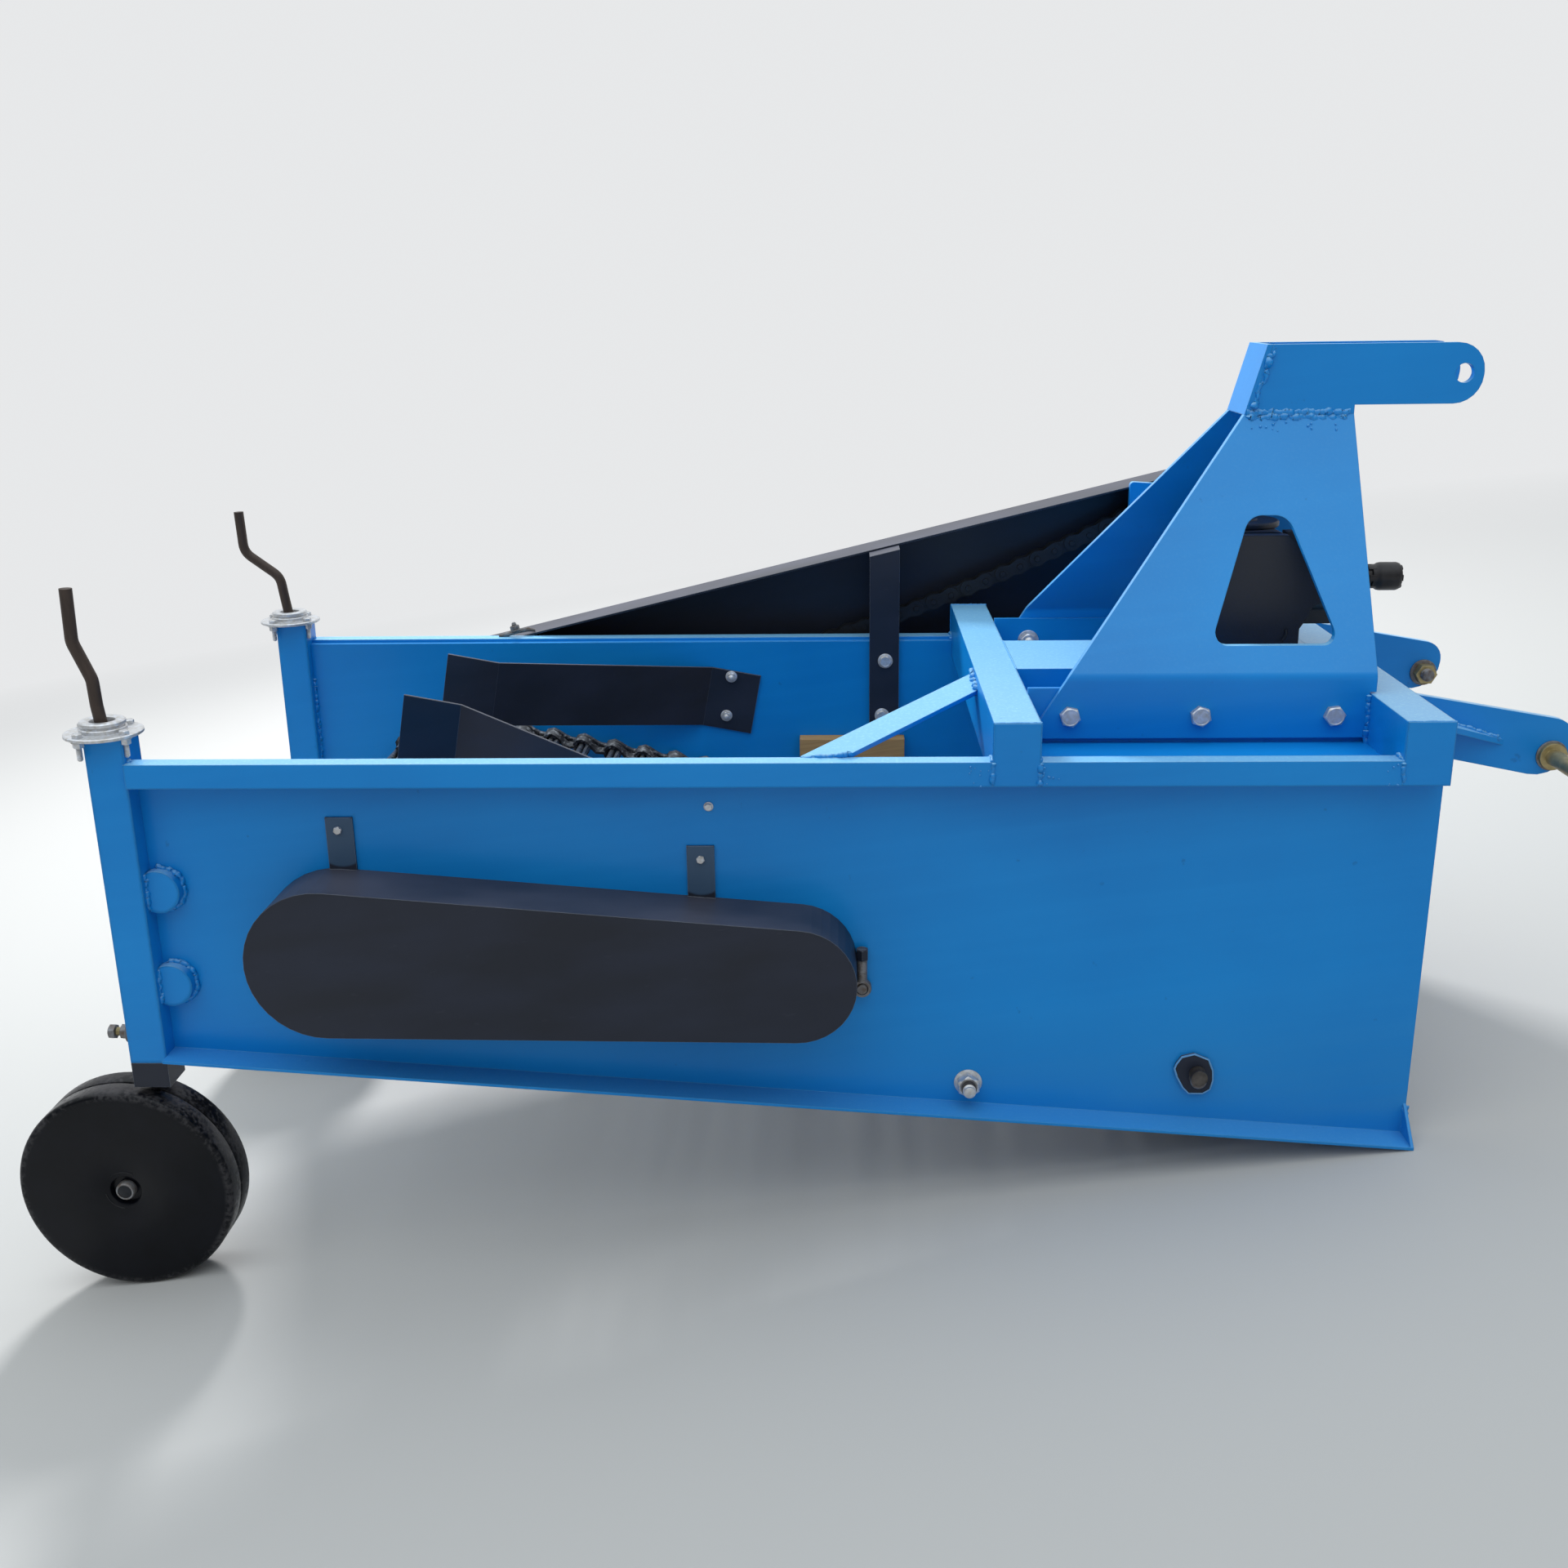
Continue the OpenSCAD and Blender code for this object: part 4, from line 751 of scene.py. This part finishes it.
# Chain cover: a pressed oval pan of black sheet over the right chain, held to the wall
# by two flat tabs, with the chain's tensioning bolt in a slot at its front end.
coat(black_paint, "chain_cover")
cover_trim = []
for x, z in ((0.338, 0.667), (0.811, 0.626)):
    cover_trim += bolt(0.0065, (x, -(wall_out + 0.004), z), (0, -1, 0), wash=0)
wall_screw = bolt(0.006, (0.823, -wall_out, 0.697), (0, -1, 0))
tension_x = 1.0212
tension_y = -0.366
eye_at = (tension_x, -wall_out, 0.4457)
eye = [(0.0075, 0.002), (0.0115, 0.002), (0.0125, 0.004), (0.0125, 0.011), (0.0115, 0.013)]
eye += [(0.0085, 0.013), (0.0075, 0.011)]
tension_eye = [moved(turned(eye, 32, loop=True), eye_at, (0, -1, 0))]
tension_eye.append(moved(thread(0.0070, 0, 0.046), (tension_x, tension_y, 0.4560), (0, 0, 1)))
pin_profile = [(0.0074, 0), (0.0074, 0.013), (0.0062, 0.015), (0.0005, 0.0155)]
tension_pin = [moved(turned(pin_profile, 24), eye_at, (0, -1, 0))]
tension_nut = [moved(hexagon(0.0150, 0, 0.0150), (tension_x, tension_y, 0.4870), (0, 0, 1))]
for name, parts, finish, paint in (
    ("cover_bolts", cover_trim, zinc, "zinc_plate"),
    ("wall_screw", wall_screw, zinc, "zinc_plate"),
    ("tension_eye", tension_eye, dull_steel, "zinc_plate"),
    ("tension_pin", tension_pin, dull_steel, "zinc_plate"),
    ("tension_nut", tension_nut, black_paint, "black_paint"),
):
    cover_piece = forged(name, parts, finish)
    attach(cover_piece, "frame")

# Shafts: ground steel shafts in black bearing housings bolted inside the walls, with the
# toothed discs that drive the web, an oval shaker, and the idler's and rollers' ends.
coat(dark_steel, "head_shaft", "shaker_shaft", "front_idler", "support_rollers")
coat(cast_black, "shaft_bearings")
shaker_x = 0.936
shaker_z = 0.484
roller_x = 1.165
roller_z = 0.303
idler_x = 1.471
idler_z = 0.320
shaft_trim = []
roller_trim = []
for side in (-1, 1):
    for x, z in ((head_x, head_z), (shaker_x, shaker_z)):
        for ahead, up in bolt_circle(3, 0.034, 90):
            shaft_trim += bolt(0.008, (x + ahead, side * 0.342, z + up), (0, -side, 0), 0.005)
    roller_trim += bolt(0.018, (roller_x, side * wall_out, roller_z), (0, side, 0), 0.016, 0.0025)
for name, parts, finish in (("shaft_nuts", shaft_trim, dull_steel), ("roller_nuts", roller_trim, zinc)):
    nuts = forged(name, parts, finish)
    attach(nuts, "frame")
slot_shape = [(1.4425, 0.3327), (1.4494, 0.3436), (1.4660, 0.3480), (1.4850, 0.3400)]
slot_shape += [(1.4915, 0.3240), (1.4925, 0.3097), (1.4895, 0.2962), (1.4801, 0.2900)]
slot_shape += [(1.4615, 0.2900), (1.4533, 0.2985), (1.4447, 0.3144), (1.4407, 0.3266)]
idler_end = [(0.0105, 0), (0.0108, 0.001), (0.0108, 0.012), (0.0095, 0.0135), (0.0005, 0.0138)]
# The pale rim round each idler slot is a painted highlight along the slot's edge.
slot_rim_highlight = Finish("painted highlight on slot rims", Roughness=0.5)
rim_highlight_tone = slot_rim_highlight.noise(0.01)
slot_rim_highlight.show(slot_rim_highlight.mix(rim_highlight_tone, srgb(70, 138, 200), srgb(120, 172, 212)), 0.45 + rim_highlight_tone * 0.1)
# Painted shade: a black plate over each idler slot stands for the shade inside the slot.
slot_shade_plates = []
slot_edges = []
idler_ends = []
for side in (-1, 1):
    slot_depths = [side * (wall_out + proud) for proud in (-0.001, 0.0062)]
    slot_shade_plates.append(skinned([[(x, y, z) for x, z in slot_shape[::-side]] for y in slot_depths]))
    edge_line = [(x, side * (wall_out + 0.0055), z) for x, z in slot_shape + slot_shape[:1]]
    slot_edges.append(swept(edge_line, [0.0014] * len(edge_line), 6))
    at = (idler_x, side * (wall_out + 0.006), idler_z - 0.006)
    idler_ends.append(moved(turned(idler_end, 32), at, (0, side, 0)))
for name, parts, finish, paint in (("idler_slots", slot_shade_plates, black_paint, "black_paint"),
                                   ("idler_slot_edges", slot_edges, slot_rim_highlight, "blue_paint"),
                                   ("idler_ends", idler_ends, dull_steel, "zinc_plate")):
    idler_trim = forged(name, parts, finish)
    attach(idler_trim, "frame")

# Elevator web: 11 mm spring steel rods, each bent back at both ends into a hook that
# grips the rod behind, round the head discs, the shaker, the idler and the rollers.
web_pitch = 0.053
rod_r = 0.0055
web_half = 0.3325
head_r = 14 * web_pitch / (2 * math.pi)
web_wheels = [(head_x, head_z, head_r), (shaker_x, shaker_z, 0.027), (idler_x, idler_z, 0.060)]
web_wheels.append((roller_x, roller_z, -0.031))
web_path = belt(web_wheels, 12)
rod_count = round(loop_length(web_path) / web_pitch)
rod_gap = loop_length(web_path) / rod_count
rods = [along(web_path, i * rod_gap)[0] for i in range(rod_count)]
web_steel = Finish("web steel with wear and glints on top", Metallic=0.55)
rust = web_steel.noise(0.02, 5.0)
wear = web_steel.ramp(web_steel.noise(0.006, 3.0), 0.5, 0.72)
web_tone = web_steel.mix(web_steel.ramp(rust, 0.35, 0.7), srgb(24, 25, 31), srgb(48, 48, 54))
# Rods are paler where worn at random, and paler on top as a painted highlight.
wear_and_top_glints = web_steel.upward() * 0.30 + wear * 0.45
web_steel.show(web_steel.mix(wear_and_top_glints, web_tone, srgb(186, 190, 196)), 0.50 - wear_and_top_glints * 0.2)
web_steel.relief(rust, 0.0006, 0.5)
hook_r = 0.0118


def hooked_rod(rod, behind):
    """Parts of one rod of the web, with the hooks at its ends round the rod behind it."""
    span = (behind - rod).length
    heading = (behind - rod).normalized()
    outward = Vector((heading.y, -heading.x))

    def spot(ahead, rise, y):
        place = rod + heading * ahead + outward * rise
        return (place.x, y, place.y)

    def curl(y):
        turns = [math.radians(130 - 42 * k) for k in range(6)]
        return [spot(span + hook_r * math.cos(a), hook_r * math.sin(a), y) for a in turns]

    parts = []
    hooks = []
    for side in (-1, 1):
        y = side * web_half
        bend = [spot(0, 0, y - side * 0.014), spot(0.003, 0, y - side * 0.004), spot(0.009, 0.001, y)]
        hooks.append(bend + [spot(span * 0.45, 0.001, y), spot(span - 0.019, 0.004, y)] + curl(y))
        doubled = [spot(-0.011, 0.0005, y - side * inward) for inward in (0.004, 0.010, 0.050, 0.090)]
        parts.append(swept(doubled, [rod_r * 0.6, rod_r, rod_r, rod_r * 0.7], 7))
        for inward in (0.013, 0.026):
            beside = y - side * inward
            hook = [spot(0.012, -0.002, beside), spot(span * 0.5, -0.004, beside)]
            hook += [spot(span - 0.017, 0.003, beside)] + curl(beside)
            parts.append(swept(hook, [rod_r * 0.9] * len(hook), 6))
    path = hooks[0][::-1] + hooks[1]
    parts.append(swept(path, [rod_r * 0.8] + [rod_r] * (len(path) - 2) + [rod_r * 0.8], 8))
    return parts


web_parts = []
for i, rod in enumerate(rods):
    web_parts += hooked_rod(rod, rods[i - 1])
web = forged("elevator_rods", web_parts, web_steel, 50)
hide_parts("elevator_web")
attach(web, "frame")

# Share: a pointed 10 mm steel blade on a square beam between the walls, with finger
# rods behind it. Its steel is grey-brown, with patches of scale and bright fine scratches.
coat(blue_paint, "share_beam")
share_steel = Finish("share steel", Metallic=0.75)
scale = share_steel.noise(0.05, 5.0)
scratch = share_steel.noise(0.004, 3.0, (0.08, 1, 1))
blade = share_steel.mix(share_steel.ramp(scale, 0.35, 0.65), srgb(92, 86, 82), srgb(136, 132, 128))
blade = share_steel.mix(share_steel.ramp(scratch, 0.5, 0.8) * 0.5, blade, srgb(176, 172, 168))
share_steel.show(blade, 0.36 + scale * 0.3)
share_steel.relief(scratch + scale, 0.0004, 0.5, share_steel.edge_round(0.0015))
coat(share_steel, "share")
share_slope = math.atan2(0.108, 0.177)
share_normal = (math.sin(share_slope), 0, math.cos(share_slope))
share_t = 0.010
share_tip_x = 1.742
share_tip_z = 0.230
bolt_x = 1.632
bolt_z = share_tip_z + (share_tip_x - bolt_x) * math.tan(share_slope) + share_t / math.cos(share_slope)
plough_head = [(0.011, -0.001), (0.011, 0.0006), (0.0095, 0.0014), (0.001, 0.0016)]
share_trim = []
for y in (-0.28, -0.14, 0, 0.14, 0.28):
    share_trim.append(moved(turned(plough_head, 24), (bolt_x, y, bolt_z), share_normal))
share_bolts = forged("share_bolts", share_trim, share_steel)
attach(share_bolts, "frame")

# Deflectors: two black strips that guide the crop in behind the web, flat on the walls
# in front, where two bolts each hold them, and folded inward behind.
coat(black_paint, "deflector_left", "deflector_right")
deflector_trim = []
for x, z in ((0.807, 0.700), (0.797, 0.631)):
    for side in (1, -1):
        deflector_trim += bolt(0.0095, (x, side * 0.350, z), (0, -side, 0), 0.006)
    deflector_trim += bolt(0.010, (x, wall_out, z), (0, 1, 0))
deflector_bolts = forged("deflector_bolts", deflector_trim, zinc)
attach(deflector_bolts, "frame")

# Rub block: a sawn hardwood block on the left wall that keeps the web off the sheet.
sawn_wood = Finish("sawn wood")
grain = sawn_wood.noise(0.004, 4.0, (0.06, 1, 1))
board = sawn_wood.mix(grain, srgb(150, 116, 74), srgb(196, 160, 108))
sawn_wood.show(board, 0.75 + grain * 0.1)
sawn_wood.relief(grain, 0.0008, 0.5, sawn_wood.edge_round(0.002))
coat(sawn_wood, "rub_block")

# Crank mountings: pressed zinc flanges bolted on the posts' tops, each with a two-step
# collar, and a brown bent rod through it that screws the leg up and down.
flange_x = 0.047
flange_t = 0.0050
post_y = 0.362
flange_parts = []
for side in (-1, 1):
    at = (flange_x, side * post_y, post_top)
    plate = [(0.0155, 0), (0.0475, 0), (0.0490, 0.0010), (0.0490, 0.0040)]
    plate += [(0.0475, flange_t), (0.0320, flange_t)]
    step = [(0.0300, 0.0054), (0.0297, 0.0064), (0.0297, 0.0098), (0.0285, 0.0110), (0.0268, 0.0114)]
    ring = [(0.0264, 0.0124), (0.0272, 0.0132), (0.0286, 0.0140), (0.0290, 0.0160), (0.0286, 0.0180)]
    ring += [(0.0270, 0.0195), (0.0235, 0.0200), (0.0190, 0.0197), (0.0163, 0.0184), (0.0155, 0.0165)]
    flange_parts.append(moved(turned(plate + step + ring, 64, loop=True), at))
    for ahead, beside in bolt_circle(4, 0.0395, 63):
        x = flange_x + ahead
        y = side * post_y + beside
        flange_parts += bolt(0.008, (x, y, post_top + flange_t), (0, 0, 1), wash=0)
        flange_parts += bolt(0.008, (x, y, post_top), (0, 0, -1), 0.018)
crank_mounts = forged("crank_mounts", flange_parts, zinc, 30)
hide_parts("crank_flanges")
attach(crank_mounts, "frame")

crank_steel = Finish("brown rod", Metallic=0.35)
mill = crank_steel.noise(0.012, 4.0, (1, 1, 0.3))
crank_steel.show(crank_steel.mix(mill, srgb(40, 32, 29), srgb(84, 70, 62)), 0.42 + mill * 0.2)
crank_steel.relief(mill, 0.0004, 0.5)
crank_r = 0.008


def rounded(corners, radius, steps=6):
    """A path through corners, each turned with a bend of that radius."""
    corners = [Vector(c) for c in corners]
    path = [corners[0]]
    for before, corner, after in zip(corners, corners[1:], corners[2:]):
        inward = (before - corner).normalized()
        onward = (after - corner).normalized()
        reach = radius / math.tan(max(inward.angle(onward), 0.1) / 2)
        reach = min(reach, (before - corner).length * 0.48, (after - corner).length * 0.48)
        start = corner + inward * reach
        stop = corner + onward * reach
        for k in range(steps + 1):
            share = k / steps
            path.append(start.lerp(corner, share).lerp(corner.lerp(stop, share), share))
    return path + [corners[-1]]


to_left = {"left": 1, "right": -1}
crank_foot = [(flange_x, 0.679), (flange_x, 0.800)]
crank_arms = {
    "left": [(0.042, 0.836), (0.037, 0.876), (-0.020, 0.919), (-0.022, 0.987)],
    "right": [(0.043, 0.836), (0.042, 0.870), (0.023, 0.919), (0.025, 0.987)],
}
for side, arm in crank_arms.items():
    y = to_left[side] * post_y
    path = rounded([(x, y, z) for x, z in crank_foot + arm], 0.030)
    crank = forged(f"crank_rod_{side}", [swept(path, [crank_r] * len(path), 20)], crank_steel)
    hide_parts(f"crank_{side}")
    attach(crank, "frame")

# Set bolts: a hexagon bolt with a lock nut goes from behind through a boss on each post and
# clamps the leg at its height.
boss = [(0.015, 0), (0.015, 0.008), (0.0135, 0.009), (0.008, 0.009)]
set_parts = []
for side in (-1, 1):
    at = (post_rear, side * post_y, 0.377)
    for part in (turned(boss, 24), hexagon(0.019, 0.009, 0.009), hexagon(0.018, 0.026, 0.009)):
        set_parts.append(moved(part, at, (-1, 0, 0)))
    shank = forged("set_bolt_thread", [moved(thread(0.006, 0.018, 0.010), at, (-1, 0, 0))], yellow_zinc)
    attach(shank, "frame")
set_bolts = forged("set_bolts", set_parts, dull_steel)
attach(set_bolts, "frame")

# Legs and depth wheels: black legs slide in the posts, each with a wheel arm inside; the
# wheel is a closed pressed drum, seamed round its middle, that turns on an axle bolt.
coat(black_paint, "leg_left", "leg_right")
wheel_half = 0.035
wheel_black = Finish("wheel black", Coat_Weight=0.10, Coat_Roughness=0.14, Specular_IOR_Level=0.14)
wheel_dust = wheel_black.noise(0.05, 5.0)
rubs = wheel_black.noise(0.006, 5.0)
drum = wheel_black.mix(wheel_black.ramp(wheel_dust, 0.35, 0.7), srgb(6, 8, 14), srgb(12, 14, 22))
rim_band = wheel_black.rim(axle, 0.138, 0.144)
scuffed = rim_band * wheel_black.ramp(rubs + wheel_dust * 0.6, 0.72, 0.95)
drum = wheel_black.mix(scuffed * 0.35, drum, srgb(92, 90, 92))
wheel_black.show(drum, 0.24 + wheel_dust * 0.12 + scuffed * 0.3)
wheel_black.relief(wheel_dust * 1.2 + scuffed * 0.6, 0.0005, 0.4)


def bowed(radius, z, size, start, stop, steps=5):
    """Places of a rounded corner in a lathe profile, angles in degrees."""
    angles = [math.radians(start + (stop - start) * k / steps) for k in range(steps + 1)]
    return [(radius + size * math.cos(a), z + size * math.sin(a)) for a in angles]


hub = [(0.0101, 0.026), (0.0202, 0.026), (0.0210, 0.0310), (0.0222, 0.0332), (0.0245, 0.0342)]
face = [(0.0900, 0.0344), (0.1330, 0.0350)]
rim = bowed(0.1430, 0.0280, 0.0070, 88, 0)
seam = [(0.1500, 0.0040), (0.1492, 0.0022), (0.1470, 0.0012), (0.1468, 0.0)]
half_profile = hub + face + rim + seam
drum_profile = [(r, -z) for r, z in half_profile] + [(r, z) for r, z in half_profile[::-1][1:]]
for side in to_left:
    y = to_left[side] * post_y
    rings = turned(drum_profile, 96)
    press_marks = [swept(arc(0, y + outward * 0.0340, wheel_r, 0.0285, start, start + 70), [0.0011] * 13, 6)
                   for outward in (-1, 1) for start in (62, 190)]
    drum_parts = [moved(rings, (0, y, wheel_r), (0, 1, 0))] + press_marks
    wheel = forged(f"wheel_drum_{side}", drum_parts, wheel_black, 32)
    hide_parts(f"wheel_{side}")
    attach(wheel, f"wheel_{side}")

# Axle ends: the axle bolt's dark end stands in the drum's hub recess, in a ring of bare
# steel.
for side, outward in to_left.items():
    y = outward * (post_y + wheel_half - 0.008)
    end = [(0.0132, 0), (0.0132, 0.009), (0.0118, 0.0108), (0.0100, 0.0106), (0.0098, 0.0090)]
    core = [(0.0098, 0), (0.0098, 0.0098), (0.0088, 0.0104), (0.0005, 0.0106)]
    for name, profile, finish in (("end", end, dull_steel), ("core", core, chain_black)):
        axle_trim = [moved(turned(profile, 32), (0, y, wheel_r), (0, outward, 0))]
        axle_end = forged(f"axle_{name}_{side}", axle_trim, finish)
        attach(axle_end, f"leg_{side}")

# Studio: a pale floor that sweeps up into a backdrop, one soft light high behind the
# machine, a weaker one on the camera's side, and a pale sky, strongest overhead.
studio = Finish("studio floor", Roughness=0.9)
pale = (0.80, 0.81, 0.82, 1)
screed = studio.mix(studio.noise(0.8) * 0.2, (0.47, 0.47, 0.465, 1), (0.43, 0.43, 0.425, 1))
studio.feed(studio.surface.inputs["Base Color"], screed)
glow = studio.node("ShaderNodeEmission", {}, {"Color": pale, "Strength": 1.0})
seen = studio.node("ShaderNodeLightPath")
mirrored = studio.node("ShaderNodeLightPath", out=3)
ground = studio.node("ShaderNodeNewGeometry")
depth = studio.node("ShaderNodeSeparateXYZ", {}, {0: ground}, out=1)
spread = studio.node("ShaderNodeVectorMath", {"operation": "LENGTH"}, {0: ground}, out=1)
far = studio.ramp(depth, 0.8, 6.0) + studio.ramp(spread, 4.5, 11.0)
fade = studio.ramp(far, 0.0, 1.0) * (seen + mirrored)
screed_shader = Wire(studio, studio.surface.outputs[0])
joined = studio.node("ShaderNodeMixShader", {}, {0: fade, 1: screed_shader, 2: glow})
studio.feed(studio.tree.nodes["Material Output"].inputs["Surface"], joined)
sweep_radius = 3.0
sweep_back = 6.5
floor_reach = 60.0
floor_profile = [(-floor_reach, 0.0), (sweep_back, 0.0)]
floor_profile += [(sweep_back + sweep_radius * math.sin(a), sweep_radius * (1 - math.cos(a)))
                  for a in [math.radians(6 * k) for k in range(1, 16)]]
floor_profile.append((sweep_back + sweep_radius, 9.0))
floor_points = [(x, y, z) for x in (-floor_reach, floor_reach) for y, z in floor_profile]
count = len(floor_profile)
floor_faces = [(i, i + count, i + count + 1, i + 1) for i in range(count - 1)]
floor_mesh = bpy.data.meshes.new("studio_floor")
floor_mesh.from_pydata(floor_points, [], floor_faces)
floor_mesh.polygons.foreach_set("use_smooth", [True] * len(floor_mesh.polygons))
floor_mesh.materials.append(studio.material)
floor = bpy.data.objects.new("studio_floor", floor_mesh)
scene.collection.objects.link(floor)


class Sky(Finish):
    """The studio's sky, with nodes of the same kind as a finish."""

    def __init__(self, name):
        self.world = bpy.data.worlds.new(name)
        self.world.use_nodes = True
        self.tree = self.world.node_tree
        self.surface = self.tree.nodes["Background"]


sky = Sky("studio sky")
sky.surface.inputs["Color"].default_value = (0.92, 0.975, 1.0, 1)
heading = sky.node("ShaderNodeSeparateXYZ", {}, {0: sky.node("ShaderNodeTexCoord")}, out=2)
shed = 0.22 + sky.ramp(heading, 0.28, 0.95) * 1.55
sky.feed(sky.surface.inputs["Strength"], shed + sky.node("ShaderNodeLightPath") * (0.86 - shed))
scene.world = sky.world

for name, place, aim, size, power in (
    ("high_light", (-1.13, 3.87, 3.2), (0.5, 0, 0.5), 0.9, 310),
    ("camera_light", (0.6, -4.4, 1.1), (0.8, 0, 0.7), 3.0, 8),
):
    lamp = bpy.data.lights.new(name, "AREA")
    lamp.size = size
    lamp.energy = power
    light = bpy.data.objects.new(name, lamp)
    scene.collection.objects.link(light)
    light.location = place
    light.rotation_euler = (Vector(aim) - Vector(place)).to_track_quat("-Z", "Y").to_euler()
    light.visible_glossy = name != "high_light"

# Camera: held at chest height on the machine's right, looking a little down. Its place
# and turn are in the machine's own axes.
camera_place = Vector((0.99136, -2.28247, 1.32691))
camera_yaw = -0.0366
camera_pitch = 0.302
camera_roll = -0.0137
focus_px = 1926.25
photo_px = 1920
look = Vector((math.sin(camera_yaw) * math.cos(camera_pitch), math.cos(camera_yaw) * math.cos(camera_pitch),
               -math.sin(camera_pitch)))
level = Vector((math.cos(camera_yaw), -math.sin(camera_yaw), 0))
over_level = level.cross(look)
right = level * math.cos(camera_roll) + over_level * math.sin(camera_roll)
top = -level * math.sin(camera_roll) + over_level * math.cos(camera_roll)
lens = bpy.data.cameras.new("photo_camera")
lens.sensor_width = 36
lens.lens = focus_px / photo_px * lens.sensor_width
camera = bpy.data.objects.new("photo_camera", lens)
scene.collection.objects.link(camera)
aim = Matrix((right, top, -look)).transposed().to_4x4()
aim.translation = camera_place
camera.matrix_world = stand @ aim
scene.camera = camera
scene.view_settings.view_transform = "Standard"
